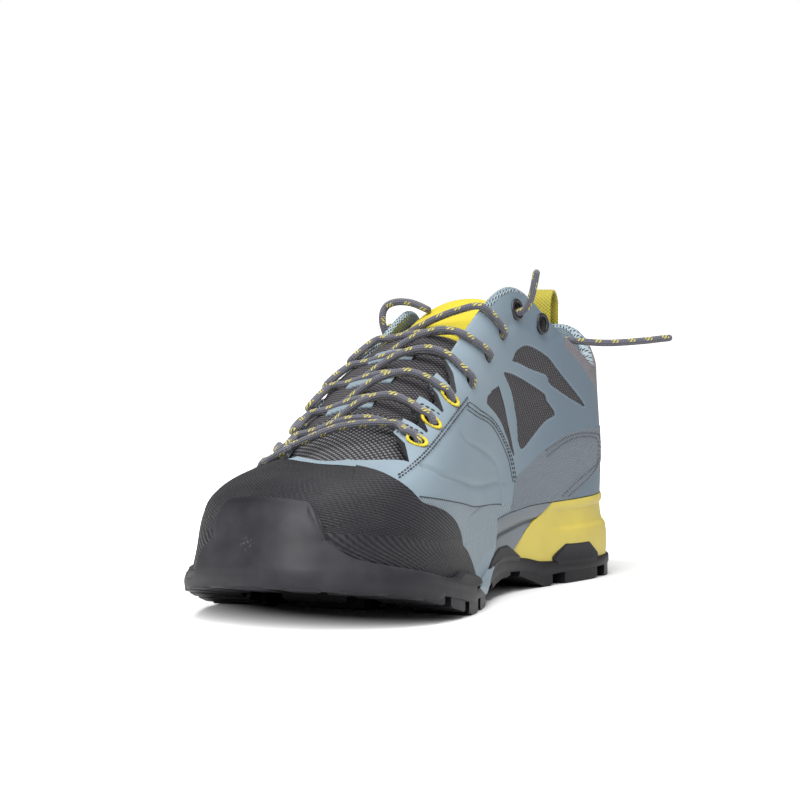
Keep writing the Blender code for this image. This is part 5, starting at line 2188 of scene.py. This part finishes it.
@dataclass(frozen=True)
class Midsole(Piece):
    """Grey foam and the yellow wedge under the heel, cut apart at a slanted joint.

    Attributes:
        joint: Upper and lower end of the joint, station and height.
        gap: Distance to the pieces above and below.
        insole_inset: How far in the insole starts.
        front: Station where the colour changes to the upper's.
    """

    joint: tuple[Place, Place] = ((77.2, 35.0), (123.8, 16.1))
    gap: float = 0.35
    insole_inset: float = 6.1
    front: float = 148.0
    COLUMNS, ROWS, TOP = (320, 200), 56, -0.015
    SHARP = 0.8
    # The panel's foot that hangs over the foam: place round the shoe, height of its lower edge, and how far
    # down it comes over the outsole
    FLAP = (
        (4.96, 0.03, 0.0), (5.1, -0.08, 0.0), (5.33, -0.76, 0.0), (5.52, -1.0, 0.0), (5.78, -1.0, 0.5),
        (6.12, -1.0, 3.6), (6.4, -1.0, 5.0), (6.65, -1.0, 3.4), (7.0, -1.0, 0.5),
    )
    FLAP_TOP, FLAP_COLUMNS, FLAP_ROWS, FLAP_PASSES = 0.1, 80, 48, 60
    # Its distance from the side: along its edge, sunk at its top, further out below, and less towards the toe
    FLAP_FLUSH, FLAP_SUNK, FLAP_OUT, FLAP_LESS = 0.3, -0.5, 1.2, 0.4
    FLAP_RISE, FLAP_FADE = (FLAP_TOP, -0.1), (6.4, 6.8)
    # Radius and depth of the foot's rolled edge, its thickness, and the height where its checks start
    FLAP_ROLL, FLAP_FALL, FLAP_THICKNESS, CHECKS_FROM = 1.2, 0.9, 1.4, -0.62
    # Height above which its lower edge is rolled, and how fast the checks' field grows with height
    FLAP_FREE, CHECKS_SCALE = -0.99, 20
    # The foot's way over the outsole: distance in from the outline, and share of how far down it comes
    FLAP_HEM = ((3.0, 0.0), (1.5, 1.0), (0.1, 1.0), (-0.45, 0.9), (-0.55, 0.5), (-0.5, 0.0))
    GROOVE = SidePath(((5.5, -0.52), (5.28, -0.47), (4.68, -0.38), (4.2, -0.29), (3.78, -0.26)))
    GROOVE_DEPTH = 1.1
    # Shape of the grey and of the yellow side: height on it, and how far it stands out there
    SWELL = ((-1.0, 0.0), (-0.8, 0.5), (-0.6, 0.3), (-0.38, -0.5), (-0.2, 0.25), (-0.08, 0.5), (0.0, 0.1))
    STEP = (
        (-1.0, 0.1), (-0.85, 0.7), (-0.6, 1.1), (-0.5, 0.9), (-0.42, -0.3), (-0.3, -0.6), (-0.17, -0.5),
        (-0.11, 0.4), (-0.05, 0.5), (0.0, 0.2),
    )
    STEP_ENDS = (3.7, 3.1)

    def body(self, name: str, grey: bool) -> Object:
        """Makes one of the two foams.

        Args:
            name: Name of the piece.
            grey: Whether it is the part ahead of the joint.

        Returns:
            The piece.
        """
        u = columns(*self.COLUMNS)
        welt = FORM.read("welt", u)
        place, height = np.broadcast_arrays(u, np.linspace(-1, self.TOP, self.ROWS)[:, None])
        flat = FORM.side(place, height).reshape(-1, 3)
        groove = np.full(len(flat), REACH)
        bulge = smooth_read(self.SWELL if grey else self.STEP, height.ravel())
        if grey:
            groove = self.GROOVE.away(flat)
            bulge = bulge - self.GROOVE_DEPTH * np.exp(-(groove**2))
        else:
            bulge = bulge * smoothstep(*self.STEP_ENDS, np.minimum(place, SECTION_COUNT - place).ravel())
        side = FORM.off(place, height, bulge.reshape(place.shape))
        rings = [ring(u, welt + 1, share, "split", self.gap) for share in (0, 1)] + list(side)
        rings += [ring(u, welt + self.insole_inset, share, "feather", -self.gap) for share in (1, 0)]
        plain = np.full(2 * len(u), REACH)
        grooves = np.concatenate([plain, groove, plain])
        piece = MeshBuilder().grid(np.array(rings), closed=True).build(name, False)
        point_attribute(piece.data, "groove", grooves)
        point_attribute(piece.data, "front", points_of(piece.data)[:, 0] - self.front)
        self.cut(piece.data, grey)
        return piece

    def flap(self) -> Object:
        """Makes the foot of the checked panel, which hangs over the foam and the outsole ahead of the arch.

        Returns:
            The piece.
        """
        builder = MeshBuilder()
        place, low, foot = np.array(self.FLAP, float).T
        u = np.linspace(place[0], place[-1], self.FLAP_COLUMNS)
        low, drop = np.interp(u, place, low), np.interp(u, place, foot)
        t = low + (self.FLAP_TOP - low) * np.linspace(0, 1, self.FLAP_ROWS)[:, None]
        for half in Half:
            around = np.broadcast_to(half.place(u), t.shape)
            flush = FORM.off(around, t, self.FLAP_FLUSH)
            edge = distance_to(flush.reshape(-1, 3), flush[0, low > self.FLAP_FREE]).reshape(t.shape)
            fall = np.clip(1 - edge / self.FLAP_ROLL, 0, 1)
            lift = self.FLAP_SUNK + self.FLAP_OUT * smoothstep(*self.FLAP_RISE, t)
            lift = lift - self.FLAP_LESS * smoothstep(*self.FLAP_FADE, u)
            rolled = lift - self.FLAP_FALL * (1 - np.sqrt(1 - fall**2))
            over = eased(FORM.off(around, t, rolled), self.FLAP_PASSES)
            under = FORM.off(around, t, lift - self.FLAP_THICKNESS)
            rows = [ring(half.place(u), inset, 1, "split", -share * drop) for inset, share in self.FLAP_HEM]
            wide = smoothstep(0.0, 0.5, drop)[:, None]
            hem = tuple(under[0] + wide * (row - under[0]) for row in rows)
            wrap(builder, over, under, np.stack([around, t], -1), hem)
        piece = builder.build("panel_foot")
        pairs, index = corner_places(piece.data)
        cloth_map(piece.data, GIRTH.lengths(*pairs.T))
        height = np.zeros(len(piece.data.vertices))
        height[index] = pairs[:, 1]
        for name in ("window", "counter", "knit", "lining"):
            point_attribute(piece.data, name, np.full(len(height), -REACH))
        point_attribute(piece.data, "ripstop", self.CHECKS_SCALE * (height - self.CHECKS_FROM))
        return piece

    def cut(self, mesh: Mesh, grey: bool) -> None:
        """Cuts a foam at the joint and closes it.

        Args:
            mesh: The foam.
            grey: Whether to keep the part ahead of the joint.
        """
        (top_station, top), (foot_station, foot) = self.joint
        ahead = unit(np.array([top - foot, 0, foot_station - top_station]))
        away = ahead if grey else -ahead
        place = np.array([top_station, 0, top]) + self.gap / 2 * away
        with edited(mesh) as work:
            everything = [*work.verts, *work.edges, *work.faces]
            plane = {"plane_co": in_frame(place), "plane_no": away.tolist()}
            bmesh.ops.bisect_plane(work, geom=everything, clear_inner=True, **plane)
            bmesh.ops.holes_fill(work, edges=[edge for edge in work.edges if edge.is_boundary])
        clean(mesh)
        mesh.set_sharp_from_angle(angle=self.SHARP)

    def build(self) -> list[Object]:
        """Makes both foams and the foot of the checked panel.

        Returns:
            The pieces.
        """
        front = self.body("midsole_foam", True)
        dress(front, (Palette.MIDSOLE,), ("midsole",))
        flap = self.flap()
        dress(flap, (Palette.UPPER,))
        wedge = self.body("wedge_foam", False)
        dress(wedge, (Palette.WEDGE,), ("heel_wedge",))
        return [front, wedge, flap]


@dataclass(frozen=True)
class Insole(Piece):
    """Footbed lying inside the upper.

    Attributes:
        inset: How far in from the midsole's edge it starts.
        thickness: Its thickness.
    """

    inset: float = 6.1
    thickness: float = 4.0
    COLUMNS, ROWS = (110, 110), 12

    def build(self) -> list[Object]:
        """Makes the footbed.

        Returns:
            The piece.
        """
        u = columns(*self.COLUMNS)
        edge = FORM.read("welt", u) + self.inset
        rings = [ring(u, edge, share, "feather") for share in (0, 1)]
        rings += [ring(u, edge, 1, "feather", self.thickness - 1)]
        shares = np.linspace(1, 0, self.ROWS)
        rings += [ring(u, edge + 1, share, "feather", self.thickness) for share in shares]
        piece = MeshBuilder().grid(np.array(rings), closed=True).build("insole_cloth")
        index = corner_places(piece.data)[1]
        cloth_map(piece.data, points_of(piece.data)[index, :2])
        dress(piece, (Palette.INSOLE,), ("insole",))
        return [piece]


def panel(*places: Place) -> SidePath:
    """A closed panel with straight edges between its places."""
    return SidePath(places, True, False)


def raised(line: tuple[Place, ...], rise: float) -> SidePath:
    """A line moved up the side."""
    return SidePath(tuple((u, t + rise) for u, t in line))


@dataclass(frozen=True)
class UpperShell(Piece):
    """Hollow upper with its mesh windows, seams, creases, lace holes and slots.

    Attributes:
        wall: Thickness at sole and throat.
        collar_wall: Thickness of the padded collar.
        cut_depth: Reach of the cutting tools to both sides of the wall.
        rows: Rows of faces on the outside, round the rim and on the inside.
    """

    wall: float = 2.4
    collar_wall: float = 5.5
    cut_depth: float = 9.0
    rows: tuple[int, int, int] = (86, 7, 22)
    COLUMNS = (390, 240)
    COLLAR_END, COLLAR_FADE, PAD_START = 5.4, 2.0, 0.45
    # Height of the rounded rim as a share of half the wall, and places where it ends and the lining starts
    RIM_RISE, RIM_END, LINING_FROM = 0.8, 1.95, 1.3
    # Step down the side that the rim's direction is measured over, how far the weave runs on over the rim,
    # how fast the lining's field grows, and the place stored where the inside comes back to the lower edge
    RIM_STEP, RIM_WEAVE, LINING_SCALE, FOOT_PLACE = 0.03, 0.1, 8, 3.1
    SHARP = 1.0
    OUTSIDE, INSIDE, CUT = 0, 1, 2
    # Place stored on the cut faces, past every place of the shell, and faces round a lace hole
    CUT_PLACE = (0.0, 9.0)
    HOLE_SIDES = 28
    # The cords along the panels' dark edges: height of their middle over the skin, sizes and seed
    EDGE_RISE = -0.3
    EDGE_SIZES = {"Pitch": 1.0, "Width": 0.4}
    SEED = 3
    SLOTS = (
        ((8.64, 0.62), (9.2, 0.79), (9.7, 0.9), (10.2, 0.97), (10.7, 1.1), (9.05, 1.1)),
        ((7.93, 0.74), (7.99, 0.74), (8.58, 1.1), (8.36, 1.1)),
        ((7.31, 0.76), (7.37, 0.76), (8.02, 1.1), (7.7, 1.1)),
        ((6.75, 0.77), (6.81, 0.77), (7.38, 1.1), (7.06, 1.1)),
    )
    # Heights of the eyestay's two seams over its lower edge
    EYESTAY_SEAMS = (0.018, 0.05)
    EYESTAY = ((8.96, 0.50), (8.40, 0.55), (7.66, 0.60), (7.00, 0.62), (6.40, 0.62))
    QUARTER = ((6.38, 0.62), (5.88, 0.50), (5.16, 0.37), (4.66, 0.24), (4.46, 0.12))
    QUARTER_BACK = ((6.31, 0.63), (5.8, 0.505), (5.09, 0.37), (4.6, 0.24), (4.41, 0.12))
    QUARTER_EDGE = ((6.41, 0.607), (5.91, 0.49), (5.19, 0.36), (4.69, 0.23), (4.485, 0.115))
    RIPLINE = ((8.52, 0.29), (7.58, 0.21), (5.96, 0.10), (4.86, 0.045))
    COUNTER_SEAMS = (
        SidePath(((3.66, 0.28), (3.26, 0.365), (2.78, 0.43), (2.3, 0.445), (2.0, 0.42), (1.86, 0.345),
                  (1.92, 0.26), (2.14, 0.19), (2.4, 0.13), (2.8, 0.06), (3.04, 0.02))),
        SidePath(((3.62, 0.25), (3.24, 0.335), (2.8, 0.4), (2.4, 0.415), (2.16, 0.395), (2.04, 0.335),
                  (2.1, 0.27), (2.12, 0.215), (2.52, 0.155), (2.92, 0.085), (3.2, 0.025))),
    )
    WINDOWS = (
        SidePath(((4.78, 0.68), (4.66, 0.74), (4.40, 0.79), (3.98, 0.81), (3.70, 0.79), (2.68, 0.64),
                  (3.68, 0.67), (3.88, 0.71), (4.30, 0.69)), True),
        SidePath(((5.00, 0.62), (3.96, 0.61), (3.76, 0.57), (3.52, 0.51), (3.74, 0.45), (4.28, 0.27),
                  (4.50, 0.42), (4.70, 0.53)), True),
        SidePath(((5.12, 0.56), (5.56, 0.52), (4.94, 0.38), (4.48, 0.23), (4.84, 0.44)), True),
    )
    COUNTER = panel(
        (4.46, 0.13), (4.04, 0.2), (3.64, 0.3), (3.3, 0.385), (2.62, 0.475), (2.0, 0.49), (1.6, 0.45),
        (1.5, 0.3), (1.7, 0.21), (2.08, 0.16), (2.6, 0.09), (3.06, -0.03), (4.6, -0.03),
    )
    RIPSTOP = panel(*RIPLINE, (4.5, 0.03), (4.42, -0.04), (8.6, -0.04))
    SIDE_PANEL = panel(*EYESTAY, *QUARTER[1:], *RIPLINE[::-1], (8.9, 0.35))
    KNIT = panel((3.65, 1.1), (3.5, 0.93), (2.9, 0.9), (2.2, 0.83), (1.7, 0.75), (1.4, 0.6), (1.2, 1.1))
    ROLLED = panel((5.7, 0.95), (5.0, 0.975), (4.4, 0.99), (4.4, 1.1), (5.7, 1.1))
    # How far the panels stand out from the skin, and half of the width over which they rise
    SOFT = 0.5
    STANDS = (("window", -0.45), ("counter", 0.3), ("side", -0.3), ("ripstop", -0.45))
    RING_CREASES = (SidePath(((5.08, 0.82), (4.68, 0.87), (4.26, 0.88), (3.90, 0.91), (3.68, 0.98))),)
    TROUGHS = (
        SidePath(((6.76, 0.52), (6.42, 0.43), (5.5, 0.28), (5.1, 0.22), (4.94, 0.17), (4.82, 0.1),
                  (4.84, 0.05))),
        SidePath(((8.3, 0.52), (7.98, 0.43), (7.66, 0.36), (6.72, 0.25), (5.68, 0.16), (4.7, 0.12))),
    )
    # Creases in the skin: their paths, depth and half width
    CREASES = ((RING_CREASES, 0.7, 2.2), (TROUGHS, 0.9, 1.2))
    FINGER_SEAMS = (
        SidePath(((8.84, 0.9), (8.86, 0.95), (8.48, 0.95), (8.12, 0.77)), smooth=False),
        SidePath(((8.1, 0.92), (8.12, 0.95), (7.9, 0.95), (7.50, 0.78)), smooth=False),
        SidePath(((7.5, 0.92), (7.52, 0.95), (7.27, 0.95), (6.92, 0.79)), smooth=False),
    )

    def thickness(self, u: Array, t: Array) -> Array:
        """Thickness of the wall: thin at sole and throat, padded round the collar.

        Args:
            u: Places round the shoe.
            t: Heights on the side.

        Returns:
            Millimetres.
        """
        from_heel = np.minimum(u, SECTION_COUNT - u)
        round_collar = np.clip((self.COLLAR_END - from_heel) / self.COLLAR_FADE, 0, 1)
        pad = np.sin(np.pi / 2 * round_collar) * smoothstep(self.PAD_START, 1, t)
        return self.wall + (self.collar_wall - self.wall) * pad

    def shell(self) -> Object:
        """Makes the uncut shell.

        Returns:
            The shell. The place stored at its corners runs from 0 to 1 up the outside, to 2 over the rim and
            to 3 down inside.
        """
        u = columns(*self.COLUMNS)
        n_out, n_rim, n_in = self.rows
        radius = self.thickness(u, np.ones_like(u)) / 2
        last = 1 - self.RIM_RISE * radius / GIRTH.lengths(u, np.ones_like(u))[:, 1]
        t = np.linspace(0, 1, n_out)[:, None] * last
        place = np.broadcast_to(u, t.shape)
        outer = FORM.side(place, t)
        out = FORM.outward(u, last)
        upward = unit(FORM.side(u, last) - FORM.side(u, last - self.RIM_STEP))
        bend = np.linspace(0, np.pi, n_rim + 1)[1:, None, None]
        rim = outer[-1] + radius[:, None] * ((np.cos(bend) - 1) * out + self.RIM_RISE * np.sin(bend) * upward)
        t_in = np.linspace(1, 0, n_in + 1)[1:, None] * last
        inside = np.broadcast_to(u, t_in.shape)
        inner = FORM.off(inside, t_in, -self.thickness(inside, t_in))
        around = np.append(u, SECTION_COUNT)
        w_out = np.append(t, t[:, :1], 1)
        w_rim = np.linspace(1, 2, n_rim + 1)[1:, None] + 0 * around
        w_in = 3 - np.append(t_in, t_in[:, :1], 1)
        skin = np.concatenate([w_out, w_rim])
        lining = np.concatenate([w_rim[-1:], w_in, 0 * around[None] + self.FOOT_PLACE])
        builder = MeshBuilder()
        for slot, points, w in (
            (self.OUTSIDE, np.concatenate([outer, rim]), skin),
            (self.INSIDE, np.concatenate([rim[-1:], inner, outer[:1]]), lining),
        ):
            builder.grid(points, np.stack([around + 0 * w, w], -1), True, slot)
        return builder.build("upper_shell")

    def cutter(self) -> Object:
        """Makes the tools for the slots and lace holes.

        Returns:
            One object of separate prisms.
        """
        mesh = bpy.data.meshes.new("throat_cutter")
        depths = (-self.cut_depth, self.cut_depth)
        with edited(mesh) as work:
            layer = work.loops.layers.uv.new(MeshBuilder.UV_NAME)
            for half in Half:
                for corners in self.SLOTS:
                    u, t = np.array(corners, float).T
                    prism(work, *(FORM.off(half.place(u), t, depth) for depth in depths))
                for eyelet in EYELETS.values():
                    prism(work, *(eyelet.ring(half, 0.0, depth, self.HOLE_SIDES)[:-1] for depth in depths))
            bmesh.ops.recalc_face_normals(work, faces=work.faces)
            for face in work.faces:
                face.material_index = self.CUT
                for loop in face.loops:
                    loop[layer].uv = self.CUT_PLACE
        return new_object("throat_cutter", mesh)

    def shape(self, mesh: Mesh) -> None:
        """Lays the panels, seams and creases into the cut shell.

        Args:
            mesh: The shell.
        """
        pairs, index = corner_places(mesh)
        order = np.argsort(-pairs[:, 1], kind="stable")
        place = np.zeros((len(mesh.vertices), 2))
        place[index[order]] = pairs[order]
        outside = place[:, 1] < self.RIM_END
        u, t = place[outside, 0], np.minimum(place[outside, 1], 1)
        points = points_of(mesh)
        skin = points[outside]
        behind = self.LINING_SCALE * (place[outside, 1] - self.LINING_FROM)
        fields = {
            "window": np.max([path.depth(skin, u, t) for path in self.WINDOWS], axis=0),
            "counter": self.COUNTER.depth(skin, u, t),
            "ripstop": self.RIPSTOP.depth(skin, u, t),
            "knit": self.KNIT.depth(skin, u, t),
            "lining": np.maximum(self.ROLLED.depth(skin, u, t), behind),
        }
        for name, values in fields.items():
            whole = np.full(len(points), -REACH)
            whole[outside] = values
            point_attribute(mesh, name, whole)
        fields["side"] = self.SIDE_PANEL.depth(skin, u, t)
        lift = sum(height * smoothstep(-self.SOFT, self.SOFT, fields[name]) for name, height in self.STANDS)
        for paths, depth, width in self.CREASES:
            away = np.min([path.away(skin) for path in paths], axis=0)
            lift -= depth * np.exp(-((away / width) ** 2))
        moved = points.copy()
        moved[outside] += lift[:, None] * FORM.outward(u, t) * (place[outside, 1] <= 1)[:, None]
        mesh.vertices.foreach_set("co", in_frame(moved).astype(np.float32).ravel())
        w = pairs[:, 1]
        height = np.where(w <= 1, w, np.where(w <= 2, 1 + self.RIM_WEAVE * (w - 1), 3 - w))
        cloth_map(mesh, GIRTH.lengths(pairs[:, 0], height))

    def seams(self) -> list[Object]:
        """Sews the seams and lays the panels' dark edges.

        Returns:
            The pieces.
        """
        dark = (*(raised(self.EYESTAY, rise) for rise in self.EYESTAY_SEAMS), *self.FINGER_SEAMS)
        fine = (SidePath(self.QUARTER), SidePath(self.QUARTER_BACK))
        edges = laid((SidePath(self.RIPLINE), SidePath(self.QUARTER_EDGE)), self.EDGE_RISE)
        return [
            Stitching().sew("seam_stitches", dark, Palette.DARK_THREAD),
            Stitching(pitch=1.9, length=1.4, width=0.5).sew("quarter_stitches", fine, Palette.DARK_THREAD),
            Stitching(pitch=2.0, length=1.5, width=0.5).sew(
                "counter_stitches", self.COUNTER_SEAMS, Palette.GREY_THREAD, rise=0.25
            ),
            PIPING.bake("panel_edges", *edges, self.EDGE_SIZES, self.SEED, Palette.DARK_THREAD),
        ]

    def build(self) -> list[Object]:
        """Makes the upper and its seams.

        Returns:
            The pieces.
        """
        finishes = (Palette.UPPER, Palette.LINING, Palette.CUT_EDGE)
        piece, tool = self.shell(), self.cutter()
        for target in (piece, tool):
            for finish in finishes:
                target.data.materials.append(finish.material())
        boolean(piece, tool)
        self.shape(piece.data)
        piece.data.set_sharp_from_angle(angle=self.SHARP)
        dress(piece, finishes, ("upper",))
        return [piece, *self.seams()]


@dataclass(frozen=True)
class EyeletSet(Piece):
    """Metal rings of the two upper eyelets and the yellow thread round the lace holes of the fingers.

    Attributes:
        radius: Radius of a ring's middle line.
        wire: Thickness of its wire.
    """

    radius: float = 3.6
    wire: float = 1.6
    # The thread's distance out from the hole's edge and from the side, sizes of its turns and seed
    THREAD_PLACE = (0.5, 0.3)
    RING_POINTS, WIRE_SIDES, THREAD_POINTS = 41, 14, 60
    TURNS = {"Pitch": 0.55, "Length": 1.5, "Width": 0.6, "Height": 1.0, "Turn": math.pi / 2}
    SEED = 11

    def rings(self) -> Object:
        """Makes the four metal rings.

        Returns:
            The piece.
        """
        builder = MeshBuilder()
        turn = np.linspace(0, 2 * math.pi, self.RING_POINTS)[:, None, None]
        section = np.linspace(0, 2 * math.pi, self.WIRE_SIDES, endpoint=False)[None, :, None]
        for half in Half:
            for name in RINGS:
                eyelet = EYELETS[name]
                along, across, out = eyelet.axes(half)
                ray = np.cos(turn) * along + np.sin(turn) * across
                reach = self.radius + self.wire / 2 * np.cos(section)
                middle = FORM.side(half.place(eyelet.u), eyelet.t)
                builder.grid(middle + reach * ray + self.wire / 2 * np.sin(section) * out, closed=True)
        return builder.build("eyelet_rings")

    def threads(self) -> Object:
        """Winds thread round the lace holes of the fingers.

        Returns:
            The piece.
        """
        around = [(EYELETS[name], half) for half in Half for name in FINGERS]
        lines = [eyelet.ring(half, *self.THREAD_PLACE, self.THREAD_POINTS) for eyelet, half in around]
        ups = [np.tile(eyelet.axes(half)[2], (self.THREAD_POINTS + 1, 1)) for eyelet, half in around]
        return BEADS.bake("eyelet_threads", lines, ups, self.TURNS, self.SEED, Palette.YELLOW_THREAD)

    def build(self) -> list[Object]:
        """Makes rings and threads.

        Returns:
            The pieces.
        """
        rings, threads = self.rings(), self.threads()
        dress(rings, (Palette.RING,), tuple(f"eyelet_ring_{half.value}_{i}" for half in Half for i in (1, 2)))
        return [rings, threads]


@dataclass(frozen=True)
class Tongue(Piece):
    """Padded tongue under the throat, with a yellow top and webbing bars that hold the lace.

    Attributes:
        thickness: Its thickness along the middle.
        thinning: Share of it that is lost at its edges.
        top: Station behind which it is yellow.
        foot: Station ahead of which its mesh is coarse.
        bars: Stations of the webbing bars.
    """

    thickness: float = 5.0
    thinning: float = 0.5
    top: float = 138.0
    foot: float = 197.0
    bars: tuple[float, ...] = (190.0, 172.0, 154.0)
    # From its top to its foot: station, height of its middle, half width, drop of its edges, tilt, shift
    ROWS = (
        (100, 113.2, 15, 3, 3, 0), (107, 109.4, 18, 4, 3, 0), (118, 104.6, 20, 5, 2.5, 0),
        (135, 99.5, 22, 6, 1.5, -1), (160, 88.0, 24.5, 6, 1.5, -3), (190, 73.5, 24.5, 8, 3, -4),
        (215, 59.5, 31, 8, 3, 3), (238, 48.5, 28, 4, 1, 3),
    )
    LENGTHWISE, CROSSWISE = 120, 41
    # How blunt it is at its ends and along its edges
    BLUNT_ENDS, BLUNT_EDGES = 20, 10
    # The bars: ends across the tongue, half of their width, height over its skin and thickness
    BAR_ENDS, BAR_HALF, BAR_LIFT, BAR_THICKNESS = (-0.42, 0.3), 3.6, 0.9, 1.6
    BAR_WEAVE, BAR_COLUMNS, BAR_ROWS = 24, 33, 9

    def surface(self, station: Array, c: Array) -> tuple[Array, Array]:
        """The tongue's middle layer.

        Args:
            station: Stations along it.
            c: Places across it, from -1 to 1.

        Returns:
            Points and their upward normals.
        """
        height, half, droop, tilt, shift = (
            smooth_read(self.ROWS, station, column)[:, None] for column in range(1, 6)
        )
        points = np.stack([station[:, None] + 0 * c, shift + half * c, height - droop * c**2 + tilt * c], -1)
        normal = unit(np.cross(np.gradient(points, axis=1), np.gradient(points, axis=0)))
        return points, normal * np.sign(normal[..., 2:])

    def skin(self, c: Array) -> Array:
        """Distance of its skin from its middle layer, at places across it."""
        return self.thickness / 2 * (1 - self.thinning * c**2)

    def pad(self) -> Object:
        """Makes the padded sheet.

        Returns:
            The piece.
        """
        route = np.array([(row[0], row[1]) for row in self.ROWS], float)
        station = spline(route, self.LENGTHWISE)[:, 0]
        c = np.sin(np.linspace(-math.pi / 2, math.pi / 2, self.CROSSWISE))
        points, normal = self.surface(station, c)
        end = np.abs(np.linspace(-1, 1, len(station))) * self.BLUNT_ENDS - (self.BLUNT_ENDS - 1)
        end = np.clip(end, 0, 1)[:, None]
        depth = self.skin(c) * np.sqrt((1 - c**self.BLUNT_EDGES) * (1 - end**2))
        over, under = (points + way * depth[..., None] * normal for way in (1, -1))
        rows = np.concatenate([over, under[:, ::-1]], 1)
        length = running(points[:, self.CROSSWISE // 2])
        middle = points[self.LENGTHWISE // 2, :, 1]
        across = np.concatenate([middle, middle[::-1], middle[:1]])
        piece = woven("tongue_pad", MeshBuilder().grid(rows, crossed(length, across), True))
        along = points_of(piece.data)[:, 0]
        point_attribute(piece.data, "top", self.top - along)
        point_attribute(piece.data, "foot", along - self.foot)
        return piece

    def webbing(self) -> Object:
        """Makes the bars across the tongue.

        Returns:
            The piece.
        """
        builder = MeshBuilder()
        c = np.linspace(*self.BAR_ENDS, self.BAR_COLUMNS)
        for middle in self.bars:
            station = middle + np.linspace(-self.BAR_HALF, self.BAR_HALF, self.BAR_ROWS)
            points, normal = self.surface(station, c)
            over = points + (self.skin(c) + self.BAR_LIFT)[:, None] * normal
            under = over - self.BAR_THICKNESS * normal
            wrap(builder, over, under, crossed(station, self.BAR_WEAVE * np.append(c, 1.0)))
        return woven("tongue_bars", builder)

    def build(self) -> list[Object]:
        """Makes the tongue and its bars.

        Returns:
            The pieces.
        """
        pad, bars = self.pad(), self.webbing()
        dress(pad, (Palette.TONGUE,), ("tongue",))
        dress(bars, (Palette.BAR,))
        return [pad, bars]


@dataclass(frozen=True)
class PullLoop(Piece):
    """Webbing loop over the back of the collar.

    Attributes:
        thickness: Thickness of the webbing.
        span: Where it starts and ends across the shoe.
    """

    thickness: float = 1.6
    span: Place = (-3.5, 6.0)
    # Station and height of its middle line
    ROUTE = (
        (2.4, 82), (4.0, 96), (4.4, 106), (4.8, 113.2), (8.6, 117.4), (12.4, 114), (13.2, 106), (13.0, 96),
    )
    LENGTHWISE, AROUND = 110, 28
    SQUARENESS = 0.3
    SHARP = 0.9

    def squared(self, x: Array) -> Array:
        """Turns the sine of an angle round a circle into that round a rounded square."""
        return np.sign(x) * np.abs(x) ** self.SQUARENESS

    def build(self) -> list[Object]:
        """Makes the loop.

        Returns:
            The piece.
        """
        path = spline(self.ROUTE, self.LENGTHWISE)
        along = unit(np.gradient(path, axis=0))
        normal = np.stack([-along[:, 1], along[:, 0]], -1)
        middle, half = sum(self.span) / 2, (self.span[1] - self.span[0]) / 2
        angle = np.linspace(0, 2 * math.pi, self.AROUND, endpoint=False)
        y = middle + half * self.squared(np.cos(angle))
        z = self.thickness / 2 * self.squared(np.sin(angle))
        plan = path[:, None, :] + z[None, :, None] * normal[:, None, :]
        rows = np.stack([plan[..., 0], np.broadcast_to(y, plan.shape[:2]), plan[..., 1]], -1)
        centre = np.repeat(rows.mean(1, keepdims=True), len(angle), 1)
        rows = np.concatenate([centre[:1], rows, centre[-1:]])
        length = np.pad(running(path), 1, mode="edge")
        uv = crossed(length, np.append(y, y[0]))
        piece = woven("pull_loop_webbing", MeshBuilder().grid(rows, uv, True))
        piece.data.set_sharp_from_angle(angle=self.SHARP)
        dress(piece, (Palette.LOOP,), ("pull_loop",))
        return [piece]


def main() -> None:
    """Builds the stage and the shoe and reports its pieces."""
    logging.basicConfig(level=logging.INFO, format="%(name)s: %(message)s")
    Studio().build()
    parts: tuple[Piece, ...] = (
        Lacing(), Outsole(), Midsole(), Insole(), UpperShell(), ToeCap(), EyeletSet(), Tongue(), PullLoop(),
    )
    for part in parts:
        for piece in part.build():
            piece.data.calc_loop_triangles()
            LOG.info("%s: %s, %d triangles", type(part).__name__, piece.name, len(piece.data.loop_triangles))


if __name__ == "__main__":
    main()
